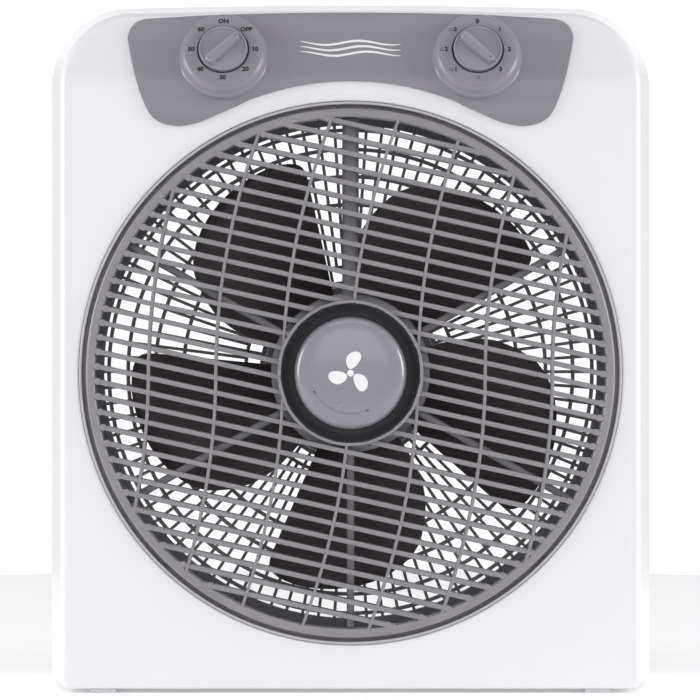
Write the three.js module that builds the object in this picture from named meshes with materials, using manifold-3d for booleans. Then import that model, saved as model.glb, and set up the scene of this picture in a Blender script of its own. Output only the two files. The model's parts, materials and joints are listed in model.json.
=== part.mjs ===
import * as THREE from 'three';
import { mergeVertices } from 'three/addons/utils/BufferGeometryUtils.js';
import Module from 'manifold-3d';

const wasm = await Module();
wasm.setup();

// A box fan with a motor-driven louvre. Millimetres and degrees; the front faces -Y, +Z is up, and the origin
// is on the floor under the middle of the fan.

// Housing
const HALF_WIDTH = 184.5;     // at the rim, where the two shells meet
const TOP_Z = 419;
const BASE_Z = 2.5;           // underside of the shells
const FRONT_Y = -55;
const RIM_Y = -1;
const REAR_Y = 57;
const DRAFT = 0.2;            // the side walls lean in this much per millimetre of depth
const TOP_CORNER_R = 49;
const BASE_CORNER_R = 6;
const TOP_BOW = 1.8;          // rise of the top edge in its middle
const WALL = 2.5;
const EDGE_R = 3;
const GAP = 0.3;              // between pieces that touch
const SLOPE = 22;             // the upper front leans back
const CREASE_Z = 370;
const CREASE_HALF = 9;        // height of the bend on each side of the crease
const TOE_Z = 35;             // below this the front leans back a little
const TOE_DEPTH = 3.2;

// Air path
const FAN_Z = 192.6;
const FRONT_OPENING_R = 163.2;
const REAR_OPENING_R = 161;
const COLLAR_WALL = 2;        // the collar runs back from the front opening, round the blades
const COLLAR_REAR = 43;
const LOUVRE_R = 158.8;
const LOUVRE_RING_R = 153.5;
const LOUVRE_FRONT = -58;
const LOUVRE_REAR = -48;
const SLAT_PITCH = 17.5;
const SLAT_SHIFT = 2.8;       // the middle slat passes this far below the centre
const SLAT_THICKNESS = 2.6;
const SLAT_LEAN = 12.5;       // turn of the slats in the plane of the louvre
const SLAT_ROWS = 8;          // on each side of the middle slat
const RIB_PITCH = 40.4;
const RIB_SWEEP = 0.00125;    // an upright rib leans by this much times its height squared
const RIM_SEGMENTS = 40;      // facets round the large rings
const HUB_LIP_R = 43.8;
const HUB_CUP_R = 42;

// Fan and main motor
const BLADE_COUNT = 5;
const BLADE_FOOT_ANGLE = 102.5;
const FAN_HUB_R = 40;
const FAN_HUB_FRONT = -14;
const FAN_HUB_REAR = 12;
const SHAFT_R = 4;
const MOTOR_R = 38;
const COILS = 6;
const MOTOR_COVER_R = 54;

// Rear guard
const GUARD_PLATE_R = 58;     // solid plate behind the motor
const GUARD_EDGE_R = 156.5;
const GUARD_RIBS = 24;
const GUARD_RINGS = [66.9, 106.4, 141.4];
const GUARD_EDGE_Y = 50.7;
const GUARD_RISE = 10.4;      // the middle stands this much further back than the edge
const GUARD_PLATE_Y = GUARD_EDGE_Y + GUARD_RISE;

const MOTOR_FRONT = 18.5;
const STATOR_FRONT = 27;
const STATOR_REAR = 42;
const MOTOR_REAR = 51.5;
const MOTOR_SCREW_X = 29;
const MOTOR_SCREW_SEAT_Y = REAR_Y - WALL - GAP + GUARD_RISE;

// The fixed frame behind the louvre, and the motor in its middle that turns the louvre
const FRAME_FLANGE_FRONT = -46.5;
const FRAME_FLANGE_REAR = -43.5;
const SEAT_R = 48;
const SEAT_FRONT = -47;
const SEAT_REAR = -30;
const GRILLE_MOTOR_EAR_X = 31;

// Fastenings: posts between the shells, and lugs of the frame and the guard at four angles round the fan
const SCREW_POSTS = [[-146, 380], [146, 380], [-155, 24], [155, 24]];
const POST_R = 6;
const POST_FLOOR_Y = 10;      // the heads of the shell screws sit on this floor
const SCREW_HOLE_R = 2.2;
const LUG_ANGLES = [45, 135, 225, 315];
const FRAME_LUG_R = 169;
const GUARD_LUG_R = 168;

// Grip pocket in the rear, and the places of the gland, the capacitor and the terminal block
const POCKET = { half: 57, low: 362, high: 401, front: 24 };
const GRIP = { half: 52, low: 364.5, high: 389 };
const GLAND = { x: 138, z: 30 };
const CAPACITOR = { x: -140, z: 46 };
const TERMINAL = { x: 142, z: 56 };

// Control panel and dials
const PANEL_PROUD = 1.7;
const SEAT_BOSS_R = 18;       // round boss behind each dial, which plugs into the front shell
const DIAL_X = 76.3;
const DIAL_Z = 383;
const DIAL_R = 26.5;
const KNOB_R = 14.7;
const DISH_TOP = 9.2;         // the dials' faces stand this far above the slope
const KNOB_TOP = 11.6;
const GRIP_TOP = 14.4;        // height of a knob's grip bar above the slope

const white = { color: 0xeeeef1, roughness: 0.42, metalness: 0 };
const panelGrey = { color: 0x8c8992, roughness: 0.4, metalness: 0 };
const grilleGrey = { color: 0x8b868b, roughness: 0.45, metalness: 0 };
const knobGrey = { color: 0x98959d, roughness: 0.35, metalness: 0 };
const bladeBrown = { color: 0x3d3638, roughness: 0.3, metalness: 0 };
const darkPlastic = { color: 0x2b2a2c, roughness: 0.6, metalness: 0 };
const rubber = { color: 0xc9c9cc, roughness: 0.8, metalness: 0 };
const steel = { color: 0xb4b6b9, roughness: 0.35, metalness: 1 };
const lamination = { color: 0x6d6e70, roughness: 0.5, metalness: 0.9 };
const aluminium = { color: 0xc4c6c8, roughness: 0.45, metalness: 0.9 };
const copper = { color: 0xb4692f, roughness: 0.4, metalness: 0.9 };
const ivory = { color: 0xe6e1d2, roughness: 0.55, metalness: 0 };
const cableGrey = { color: 0x55565a, roughness: 0.6, metalness: 0 };

const group = new THREE.Group();
group.name = 'box_fan';

const radians = (angle) => angle * Math.PI / 180;

// ---------- turning geometries into solids and named pieces ----------

function solid(geometry) {
  const bare = geometry.index ? geometry.toNonIndexed() : geometry.clone();
  for (const name of Object.keys(bare.attributes)) {
    if (name !== 'position') bare.deleteAttribute(name);
  }
  const merged = mergeVertices(bare, 1e-4);
  const corners = merged.index.array;
  const faces = [];
  for (let i = 0; i < corners.length; i += 3) {
    const [a, b, c] = [corners[i], corners[i + 1], corners[i + 2]];
    if (a !== b && b !== c && c !== a) faces.push(a, b, c);
  }
  return new wasm.Manifold(new wasm.Mesh({
    numProp: 3,
    vertProperties: new Float32Array(merged.attributes.position.array),
    triVerts: new Uint32Array(faces),
  }));
}

const joined = (solids) => solids.reduce((whole, next) => whole.add(next));

function geometryOf(body) {
  const mesh = body.getMesh();
  const geometry = new THREE.BufferGeometry();
  geometry.setAttribute('position', new THREE.BufferAttribute(new Float32Array(mesh.vertProperties), 3));
  geometry.setIndex(new THREE.BufferAttribute(new Uint32Array(mesh.triVerts), 1));
  return geometry;
}

function piece(name, body, look) {
  const geometry = geometryOf(body);
  geometry.computeVertexNormals();
  const made = new THREE.Mesh(geometry, new THREE.MeshStandardMaterial(look));
  made.name = name;
  group.add(made);
}

// ---------- basic shapes ----------

const polygon = (points) => new THREE.Shape(points.map(([x, y]) => new THREE.Vector2(x, y)));

// A plate seen from the front: its outline is in X and Z, and it runs from front to rear along Y.
function plate(shape, front, rear, options = {}) {
  const settings = { depth: rear - front, bevelEnabled: false, curveSegments: 12, ...options };
  return new THREE.ExtrudeGeometry(shape, settings).rotateX(Math.PI / 2).translate(0, rear, 0);
}

// A bar seen from the side: its outline is in Y and Z, and it runs along X.
function bar(points, left, right) {
  const sideways = new THREE.Matrix4().makeBasis(
    new THREE.Vector3(0, 1, 0),
    new THREE.Vector3(0, 0, 1),
    new THREE.Vector3(1, 0, 0),
  );
  const settings = { depth: right - left, bevelEnabled: false };
  return new THREE.ExtrudeGeometry(polygon(points), settings).applyMatrix4(sideways).translate(left, 0, 0);
}

function box(low, high) {
  const size = high.map((value, axis) => value - low[axis]);
  const middle = high.map((value, axis) => (value + low[axis]) / 2);
  return new THREE.BoxGeometry(...size).translate(...middle);
}

// A turned body round an axis along Y. The profile lists radius and depth: along the front from the middle out,
// back along the outside, and home along the rear.
function turned(profile, segments, x = 0, z = FAN_Z) {
  const points = profile.map(([radius, y]) => new THREE.Vector2(radius, y));
  if (profile[0][0] > 0) points.push(points[0].clone());
  return new THREE.LatheGeometry(points, segments).translate(x, 0, z);
}

const rod = (radius, front, rear, segments, x = 0, z = FAN_Z) =>
  turned([[0, front], [radius, front], [radius, rear], [0, rear]], segments, x, z);

const tube = (inner, outer, front, rear, segments, x = 0, z = FAN_Z) =>
  turned([[inner, front], [outer, front], [outer, rear], [inner, rear]], segments, x, z);

// Turns a piece made at three o'clock, pointing along +X, to an angle round the fan's axis.
function aroundFan(geometry, angle) {
  return geometry.translate(0, 0, -FAN_Z).rotateY(-radians(angle)).translate(0, 0, FAN_Z);
}

const polar = (radius, angle) => [radius * Math.cos(radians(angle)), FAN_Z + radius * Math.sin(radians(angle))];

// ---------- the housing ----------

function housingOutline(inset) {
  const half = HALF_WIDTH - inset;
  const top = TOP_Z - TOP_BOW - inset;
  const base = BASE_Z + inset;
  const topR = TOP_CORNER_R - inset;
  const baseR = Math.max(BASE_CORNER_R - inset, 1);
  const shape = new THREE.Shape();
  shape.moveTo(-half + baseR, base);
  shape.lineTo(half - baseR, base);
  shape.absarc(half - baseR, base + baseR, baseR, -Math.PI / 2, 0);
  shape.lineTo(half, top - topR);
  shape.absarc(half - topR, top - topR, topR, 0, Math.PI / 2);
  shape.quadraticCurveTo(0, top + 2 * TOP_BOW, -half + topR, top);
  shape.absarc(-half + topR, top - topR, topR, Math.PI / 2, Math.PI);
  shape.lineTo(-half, base + baseR);
  shape.absarc(-half + baseR, base + baseR, baseR, Math.PI, Math.PI * 1.5);
  return shape;
}

// The block of one shell, with a rounded edge on its outer face. Its walls are drawn in by the draft on the way
// from the rim to that face, which is at the front for the front shell and at the rear for the rear shell.
function housingBlock(inset, front, rear, facing) {
  const block = plate(housingOutline(inset), front + EDGE_R, rear - EDGE_R, {
    bevelEnabled: true, bevelThickness: EDGE_R, bevelSize: EDGE_R, bevelOffset: -EDGE_R, bevelSegments: 1,
    curveSegments: 4,
  });
  const position = block.attributes.position;
  const height = TOP_Z - BASE_Z;
  for (let i = 0; i < position.count; i += 1) {
    const drawnIn = DRAFT * facing * (position.getY(i) - RIM_Y);
    position.setX(i, position.getX(i) * (1 - drawnIn / HALF_WIDTH));
    position.setZ(i, BASE_Z + (position.getZ(i) - BASE_Z) * (1 - drawnIn / height));
  }
  return block;
}

// The side view of the front face, from the toe to the top, moved out by the given offset.
function faceLine(offset) {
  const lean = radians(SLOPE);
  const toeLean = Math.atan2(TOE_DEPTH, TOE_Z - BASE_Z);
  const points = [
    [FRONT_Y + TOE_DEPTH * 2 - offset * Math.cos(toeLean), BASE_Z - (TOE_Z - BASE_Z)],
    [FRONT_Y - offset, TOE_Z],
  ];
  const steps = 5;
  const bendR = CREASE_HALF / Math.tan(lean / 2);
  for (let i = 0; i <= steps; i += 1) {
    const angle = lean * i / steps;
    const radius = bendR + offset;
    points.push([
      FRONT_Y + bendR - radius * Math.cos(angle),
      CREASE_Z - CREASE_HALF + radius * Math.sin(angle),
    ]);
  }
  const [lastY, lastZ] = points.at(-1);
  const beyond = 80;
  points.push([lastY + beyond * Math.sin(lean), lastZ + beyond * Math.cos(lean)]);
  return points;
}

// Everything in front of the front face.
function inFrontOfFace(offset) {
  const line = faceLine(offset);
  const far = FRONT_Y - 60;
  return solid(bar([...line].reverse().concat([[far, line[0][1]], [far, line.at(-1)[1]]]), -220, 220));
}

// The collar round the air path, behind the front opening, with notches for the frame's lugs and its cable.
function airCollar() {
  const outer = FRONT_OPENING_R + COLLAR_WALL;
  let collar = solid(tube(FRONT_OPENING_R, outer, FRONT_Y + 1, COLLAR_REAR, RIM_SEGMENTS));
  for (const angle of LUG_ANGLES) {
    const notch = box([FRONT_OPENING_R - 4, FRAME_FLANGE_FRONT - 1, FAN_Z - 7], [outer + 4, -40, FAN_Z + 7]);
    collar = collar.subtract(solid(aroundFan(notch, angle)));
  }
  return collar.subtract(solid(box([-5, -38, FAN_Z + 158], [22, -27, FAN_Z + 170])));
}

function frontShell() {
  const block = solid(housingBlock(0, FRONT_Y, RIM_Y + 12, -1)).subtract(inFrontOfFace(0));
  const hollow = solid(housingBlock(WALL, FRONT_Y + WALL, RIM_Y + 12, -1)).subtract(inFrontOfFace(-WALL));
  let shell = block.subtract(hollow);
  for (const [x, z] of SCREW_POSTS) {
    shell = shell.add(solid(rod(POST_R - 1, FRONT_Y, RIM_Y - 0.5, 12, x, z)).intersect(block));
    shell = shell.subtract(solid(rod(SCREW_HOLE_R, -18, RIM_Y + 4, 8, x, z)));
  }
  for (const angle of LUG_ANGLES) {
    const [x, z] = polar(FRAME_LUG_R, angle);
    shell = shell.add(solid(rod(4.5, FRONT_Y + 1, FRAME_FLANGE_FRONT - GAP, 10, x, z)));
    shell = shell.subtract(solid(rod(SCREW_HOLE_R, FRONT_Y + 3, FRAME_FLANGE_FRONT, 8, x, z)));
  }
  const behindRim = solid(box([-220, RIM_Y - GAP / 2, -20], [220, RIM_Y + 40, 460]));
  return shell
    .subtract(behindRim)
    .add(airCollar())
    .subtract(solid(rod(FRONT_OPENING_R, FRONT_Y - 20, FRONT_Y + 8, RIM_SEGMENTS)))
    .subtract(solid(onSlope(rod(SEAT_BOSS_R + GAP * 1.5, -10, 15, 16), -DIAL_X)))
    .subtract(solid(onSlope(rod(SEAT_BOSS_R + GAP * 1.5, -10, 15, 16), DIAL_X)));
}

function rearShell() {
  const block = solid(housingBlock(0, RIM_Y - 12, REAR_Y, 1));
  const hollow = solid(housingBlock(WALL, RIM_Y - 12, REAR_Y - WALL, 1));
  const pocketOuter = box(
    [-POCKET.half - WALL, POCKET.front - WALL, POCKET.low - WALL],
    [POCKET.half + WALL, REAR_Y - 1, POCKET.high + WALL],
  );
  const pocketInner = box([-POCKET.half, POCKET.front, POCKET.low], [POCKET.half, REAR_Y - WALL, POCKET.high]);
  const mouth = box([-GRIP.half, REAR_Y - 10, GRIP.low], [GRIP.half, REAR_Y + 10, GRIP.high]);
  let shell = block.subtract(hollow).add(solid(pocketOuter).intersect(block));
  shell = shell.subtract(solid(pocketInner)).subtract(solid(mouth));
  for (const [x, z] of SCREW_POSTS) {
    shell = shell.add(solid(rod(POST_R, RIM_Y + 1, REAR_Y - 1, 12, x, z)));
    shell = shell.subtract(solid(rod(4.4, POST_FLOOR_Y, REAR_Y + 10, 12, x, z)));
    shell = shell.subtract(solid(rod(SCREW_HOLE_R, -20, POST_FLOOR_Y + 1, 8, x, z)));
  }
  for (const angle of LUG_ANGLES) {
    const [x, z] = polar(GUARD_LUG_R, angle);
    shell = shell.subtract(solid(rod(SCREW_HOLE_R, REAR_Y - 6, REAR_Y + 6, 8, x, z)));
  }
  const aheadOfRim = solid(box([-220, RIM_Y - 40, -20], [220, RIM_Y + GAP / 2, 460]));
  return shell
    .subtract(aheadOfRim)
    .subtract(solid(rod(REAR_OPENING_R, REAR_Y - 8, REAR_Y + 8, RIM_SEGMENTS)))
    .subtract(solid(rod(7.3, REAR_Y - 8, REAR_Y + 8, 16, GLAND.x, GLAND.z)));
}

// ---------- the control panel, its dials and knobs ----------

// The grey panel's outline: a wide plate with a lobe under each dial and an arch over the louvre.
function panelOutline() {
  const archEnd = new THREE.Vector2(50.1, 360);
  const archTop = new THREE.Vector2(0, 367.8);
  const archControl = new THREE.Vector2(25, 367.8);
  const arch = new THREE.QuadraticBezierCurve(archTop, archControl, archEnd).getPoints(3);
  const lobe = new THREE.SplineCurve([
    archEnd, new THREE.Vector2(77.8, 348.5), new THREE.Vector2(93.9, 342.1), new THREE.Vector2(104, 340.7),
    new THREE.Vector2(114, 342.9), new THREE.Vector2(120.4, 348.1), new THREE.Vector2(126.4, 361),
    new THREE.Vector2(131.4, 380), new THREE.Vector2(134.4, 394.4),
  ]).getPoints(12);
  const corner = new THREE.EllipseCurve(122.4, 394.4, 12, 12, 0, Math.PI / 2).getPoints(3);
  const top = new THREE.QuadraticBezierCurve(
    new THREE.Vector2(122.4, 406.4),
    new THREE.Vector2(60, 410),
    new THREE.Vector2(0, 410),
  ).getPoints(2);
  const half = [...arch, ...lobe.slice(1), ...corner.slice(1), ...top.slice(1)];
  const mirrored = half.slice(1, -1).reverse().map((point) => new THREE.Vector2(-point.x, point.y));
  return new THREE.Shape([...half, ...mirrored]);
}

const panelPrism = (front, rear) => solid(plate(panelOutline(), front, rear));

// Stands a turned piece, made about the Y axis with its front at negative Y, on the slope at a dial's centre.
function onSlope(geometry, x) {
  const lean = radians(SLOPE);
  const y = FRONT_Y + (DIAL_Z - CREASE_Z) * Math.tan(lean);
  return geometry.translate(0, 0, -FAN_Z).rotateX(-lean).translate(x, y, DIAL_Z);
}

function controlPanel() {
  let panel = panelPrism(FRONT_Y - 30, 0).intersect(inFrontOfFace(GAP)).subtract(inFrontOfFace(PANEL_PROUD));
  for (const x of [-DIAL_X, DIAL_X]) {
    const dish = turned([[0, -DISH_TOP], [22.5, -DISH_TOP], [24, 0.8 - DISH_TOP], [DIAL_R - 0.3, -1],
      [DIAL_R, 0.5], [DIAL_R, 12], [0, 12]], 28);
    panel = panel.add(solid(onSlope(dish, x)).intersect(inFrontOfFace(0.5)));
    panel = panel.add(solid(onSlope(rod(SEAT_BOSS_R, -1, 1.6, 16), x)));
    panel = panel.subtract(solid(onSlope(rod(KNOB_R + 0.7, -DISH_TOP - 2, -1.4, 20), x)));
    panel = panel.subtract(solid(onSlope(rod(5.3, -8, 8, 10), x)));
  }
  return panel;
}

// A switch or timer: a square body behind the shell's wall, with a threaded bush through the panel.
function switchBody(x, half, depth) {
  const front = 6;
  const square = box([-half, front, FAN_Z - half], [half, front + depth, FAN_Z + half]);
  return solid(onSlope(square, x))
    .add(solid(onSlope(rod(5, -4.4, front + 1, 12), x)))
    .subtract(solid(onSlope(rod(3.3, -6, 12, 10), x)));
}

function panelNut(x) {
  const hexagon = solid(onSlope(rod(9, -4.1, -1.7, 6), x));
  return hexagon.subtract(solid(onSlope(rod(5.4, -6, 0, 14), x)));
}

const switchShaft = (x) => solid(onSlope(rod(3, -9, 9.6, 10), x));

// A knob with a raised grip bar, turned so that the grip points at its mark.
function dialKnob(x, pointsAt) {
  const skirt = solid(turned([[0, -KNOB_TOP], [KNOB_R - 1, -KNOB_TOP], [KNOB_R, 1 - KNOB_TOP],
    [KNOB_R, -1.8], [0, -1.8]], 24));
  const grip = new THREE.Shape();
  grip.moveTo(-3.2, FAN_Z - 10.5);
  grip.absarc(0, FAN_Z - 10.5, 3.2, Math.PI, Math.PI * 2);
  grip.absarc(0, FAN_Z + 11.5, 2.2, 0, Math.PI);
  const whole = skirt
    .add(solid(plate(grip, -GRIP_TOP, -6, { curveSegments: 4 })))
    .intersect(solid(rod(KNOB_R, -20, 0, 24)))
    .subtract(solid(turned([[5.6, -8.2], [12.8, -8.2], [12.8, 0], [5.6, 0]], 16)))
    .subtract(solid(rod(5.7, -4.8, 0, 16)))
    .subtract(solid(rod(3.3, -9.3, 0, 10)));
  return solid(onSlope(aroundFan(geometryOf(whole), -pointsAt), x));
}

// ---------- the louvre and the parts that turn it ----------

function louvreSlats() {
  const slats = [];
  for (let row = -SLAT_ROWS; row <= SLAT_ROWS; row += 1) {
    const offset = -SLAT_SHIFT - SLAT_PITCH * row;
    const reach = Math.sqrt((LOUVRE_RING_R + 2) ** 2 - offset ** 2);
    const half = SLAT_THICKNESS / 2;
    const slat = box([-reach, LOUVRE_FRONT + 0.6, offset - half], [reach, LOUVRE_REAR, offset + half]);
    slats.push(solid(slat.rotateY(radians(SLAT_LEAN)).translate(0, 0, FAN_Z)));
  }
  return joined(slats);
}

// One of the upright ribs: an S curve that leans right above the centre and left below it.
function louvreRib(middle) {
  const steps = 2;
  const half = 0.95;
  const reach = Math.sqrt((LOUVRE_RING_R + 2) ** 2 - middle ** 2);
  const centre = [];
  for (let i = -steps; i <= steps; i += 1) {
    const z = i / steps * reach;
    centre.push([middle + Math.sign(z) * RIB_SWEEP * z * z, z + FAN_Z]);
  }
  const left = centre.map(([x, z]) => [x - half, z]).reverse();
  const right = centre.map(([x, z]) => [x + half, z]);
  return solid(plate(polygon([...right, ...left]), LOUVRE_FRONT + 0.6, LOUVRE_REAR));
}

function louvreGrille() {
  const ribs = [-3, -2, -1, 0, 1, 2, 3].map((i) => louvreRib(i * RIB_PITCH));
  const bars = louvreSlats()
    .add(joined(ribs))
    .intersect(solid(rod(LOUVRE_RING_R + 1.5, LOUVRE_FRONT - 3, LOUVRE_REAR + 3, RIM_SEGMENTS)))
    .subtract(solid(rod(HUB_CUP_R + 0.9, LOUVRE_FRONT - 4, LOUVRE_REAR + 4, 24)));
  const ring = turned([[LOUVRE_RING_R, LOUVRE_FRONT + 0.6], [LOUVRE_R - 1.2, LOUVRE_FRONT + 0.6],
    [LOUVRE_R, LOUVRE_FRONT + 1.8], [LOUVRE_R, LOUVRE_REAR], [LOUVRE_RING_R, LOUVRE_REAR]], RIM_SEGMENTS);
  const hub = turned([[3.3, -52.5], [35.5, -52.5], [HUB_CUP_R, -60], [HUB_LIP_R, -60], [HUB_LIP_R, LOUVRE_REAR],
    [40, LOUVRE_REAR], [40, -50], [3.3, -50]], 24);
  return bars.add(solid(ring)).add(solid(hub));
}

const hubKnob = () => solid(turned([[0, -63], [31.9, -63], [33.9, -61], [33.9, -52.9], [31.5, -52.9],
  [31.5, -60.4], [7, -60.4], [7, -52.9], [3.3, -52.9], [3.3, -57.5], [0, -57.5]], 30));

const grilleMotorShaft = () => solid(rod(3, -57.2, -36.5, 12));

// The fixed frame: a trim ring flush with the face, a ledge behind the louvre, six arms and the motor's seat.
function frontFrame() {
  const trim = turned([[161.2, FRONT_Y - 0.8], [162.9, FRONT_Y - 0.8], [162.9, FRAME_FLANGE_REAR],
    [154, FRAME_FLANGE_REAR], [154, FRAME_FLANGE_FRONT], [161.2, FRAME_FLANGE_FRONT]], RIM_SEGMENTS);
  const seat = turned([[9, SEAT_FRONT], [SEAT_R, SEAT_FRONT], [SEAT_R, SEAT_REAR], [SEAT_R - 2.5, SEAT_REAR],
    [SEAT_R - 2.5, SEAT_FRONT + 2.5], [9, SEAT_FRONT + 2.5]], 24);
  let frame = solid(trim).add(solid(seat));
  for (const angle of [30, 90, 150, 210, 270, 330]) {
    const half = angle === 90 ? 5 : 2.1;
    const arm = box([SEAT_R - 1, FRAME_FLANGE_FRONT, FAN_Z - half], [156, -38.5, FAN_Z + half]);
    frame = frame.add(solid(aroundFan(arm, angle)));
  }
  for (const angle of LUG_ANGLES) {
    const lug = box([160, FRAME_FLANGE_FRONT, FAN_Z - 6], [FRAME_LUG_R + 6, FRAME_FLANGE_REAR, FAN_Z + 6]);
    const [x, z] = polar(FRAME_LUG_R, angle);
    frame = frame.add(solid(aroundFan(lug, angle)));
    frame = frame.subtract(solid(rod(SCREW_HOLE_R, -50, -40, 8, x, z)));
  }
  for (const side of [-1, 1]) {
    frame = frame.add(solid(rod(4, SEAT_FRONT + 1, -41, 8, side * GRILLE_MOTOR_EAR_X)));
    frame = frame.subtract(solid(rod(1.6, -45.5, -40, 6, side * GRILLE_MOTOR_EAR_X)));
  }
  const cableSlot = box([-2, -43, FAN_Z + SEAT_R - 6], [2, -34, FAN_Z + SEAT_R + 0.5]);
  return frame.subtract(solid(cableSlot));
}

function grilleMotor() {
  const can = turned([[0, -46.8], [8.5, -46.8], [8.5, -44], [25, -44], [25, -31], [0, -31]], 24);
  const ears = box([-35, -40.7, FAN_Z - 4], [35, -39.4, FAN_Z + 4]);
  let motor = solid(can).add(solid(ears)).subtract(solid(rod(3.3, -60, -36, 12)));
  for (const side of [-1, 1]) {
    motor = motor.subtract(solid(rod(1.7, -50, -38, 6, side * GRILLE_MOTOR_EAR_X)));
  }
  return motor;
}

const grilleMotorCover = () => solid(turned([[0, SEAT_REAR + GAP], [SEAT_R, SEAT_REAR + GAP], [SEAT_R, -28.3],
  [SEAT_R - 1.5, -27.2], [0, -27.2]], 24));

// ---------- the fan and its motor ----------

// The edges of a blade at a few radii: how far the blade reaches round from its straight edge.
const BLADE_STATIONS = [
  { radius: 38.5, from: 0, to: 59.5 },
  { radius: 56, from: 0, to: 59.5 },
  { radius: 82, from: 0, to: 56.2 },
  { radius: 101, from: 0, to: 50.5 },
  { radius: 118, from: 0, to: 43 },
  { radius: 128, from: 0.2, to: 33 },
  { radius: 133.5, from: 1.6, to: 23 },
  { radius: 136, from: 5.5, to: 14 },
];

function bladeGeometry() {
  const acrossSteps = 4;
  const alongSteps = BLADE_STATIONS.length - 1;
  const thickness = 2.2;
  const blade = new THREE.BoxGeometry(1, 1, 1, alongSteps, 1, acrossSteps);
  const position = blade.attributes.position;
  for (let i = 0; i < position.count; i += 1) {
    const station = BLADE_STATIONS[Math.round((position.getX(i) + 0.5) * alongSteps)];
    const across = position.getZ(i) + 0.5;
    const angle = radians(station.from + across * (station.to - station.from));
    const sag = 3 * Math.sin(Math.PI * across);
    const y = -11.5 + 21 * (1 - angle / radians(60)) - sag + position.getY(i) * thickness;
    position.setXYZ(i, station.radius * Math.cos(angle), y, FAN_Z + station.radius * Math.sin(angle));
  }
  return blade;
}

function fanBlades() {
  const hub = turned([[SHAFT_R + GAP, FAN_HUB_FRONT], [FAN_HUB_R - 3, FAN_HUB_FRONT], [FAN_HUB_R, FAN_HUB_FRONT + 3],
    [FAN_HUB_R, FAN_HUB_REAR], [FAN_HUB_R - 2.5, FAN_HUB_REAR], [FAN_HUB_R - 2.5, FAN_HUB_FRONT + 2.5],
    [9, FAN_HUB_FRONT + 2.5], [9, 8], [SHAFT_R + GAP, 8]], 24);
  let fan = solid(hub);
  for (let i = 0; i < BLADE_COUNT; i += 1) {
    fan = fan.add(solid(aroundFan(bladeGeometry(), BLADE_FOOT_ANGLE + i * 360 / BLADE_COUNT)));
  }
  return fan;
}

const fanNut = () => solid(turned([[0, -25], [8, -25], [11, -22], [12, FAN_HUB_FRONT - GAP],
  [SHAFT_R + GAP, FAN_HUB_FRONT - GAP], [SHAFT_R + GAP, -20.3], [0, -20.3]], 18));

const motorShaft = () => solid(rod(SHAFT_R, -20, 51, 20));

// An end bracket of the motor: a shallow cup with a bearing seat, facing the stator.
function motorBracket(outer, inner, holeR) {
  const ordered = outer < inner;
  const wall = ordered ? outer + 2.2 : outer - 2.2;
  const profile = [[holeR, outer], [MOTOR_R - 2, outer], [MOTOR_R, ordered ? outer + 2 : outer - 2],
    [MOTOR_R, inner], [MOTOR_R - 3, inner], [MOTOR_R - 3, wall], [13.5, wall],
    [13.5, ordered ? outer + 6.5 : outer - 6.5], [11.3, ordered ? outer + 6.5 : outer - 6.5], [11.3, wall],
    [holeR, wall]];
  return solid(turned(ordered ? profile : profile.reverse(), 18));
}

const motorFrontBracket = () => motorBracket(MOTOR_FRONT, STATOR_FRONT - GAP, 6);

function motorRearBracket() {
  let bracket = motorBracket(MOTOR_REAR, STATOR_REAR + GAP, 6);
  for (const side of [-1, 1]) {
    bracket = bracket.add(solid(rod(4.5, STATOR_REAR + 4.6, MOTOR_REAR - 0.5, 10, side * MOTOR_SCREW_X)));
    bracket = bracket.subtract(solid(rod(SCREW_HOLE_R, STATOR_REAR + 5.4, MOTOR_REAR + 2, 8, side * MOTOR_SCREW_X)));
  }
  return bracket;
}

const bearing = (front) => solid(tube(SHAFT_R + 0.08, 11, front, front + 3.8, 20));

function motorStator() {
  let core = solid(tube(19.5, MOTOR_R, STATOR_FRONT, STATOR_REAR, 24));
  for (let i = 0; i < COILS; i += 1) {
    const slot = box([21.5, STATOR_FRONT - 1, FAN_Z - 4.5], [33, STATOR_REAR + 1, FAN_Z + 4.5]);
    core = core.subtract(solid(aroundFan(slot, i * 360 / COILS)));
  }
  return core;
}

// The end turns of the winding, standing out of each face of the stator.
const frontWinding = () => solid(tube(22, 32.5, 22.5, STATOR_FRONT - GAP, 20));
const rearWinding = () => solid(tube(22, 32.5, STATOR_REAR + GAP, 46.2, 20));

const motorRotor = () => solid(tube(SHAFT_R + GAP, 19.2, STATOR_FRONT - 1, STATOR_REAR + 1, 24));

const motorCover = () => solid(turned([[14, 14.2], [MOTOR_COVER_R - 4, 14.2], [MOTOR_COVER_R, 18.2],
  [MOTOR_COVER_R, GUARD_PLATE_Y - GAP], [MOTOR_COVER_R - 1.8, GUARD_PLATE_Y - GAP],
  [MOTOR_COVER_R - 1.8, 18.8], [MOTOR_COVER_R - 4.6, 16],
  [14, 16]], 24));

// ---------- the rear guard ----------

// The guard is drawn flat and then domed: everything inside its edge rises towards the middle.
function domed(guard) {
  const geometry = geometryOf(guard);
  const position = geometry.attributes.position;
  for (let i = 0; i < position.count; i += 1) {
    const radius = Math.hypot(position.getX(i), position.getZ(i) - FAN_Z);
    const share = Math.min(Math.max((GUARD_EDGE_R - radius) / (GUARD_EDGE_R - GUARD_PLATE_R), 0), 1);
    position.setY(i, position.getY(i) + share * GUARD_RISE);
  }
  return solid(geometry);
}

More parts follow.
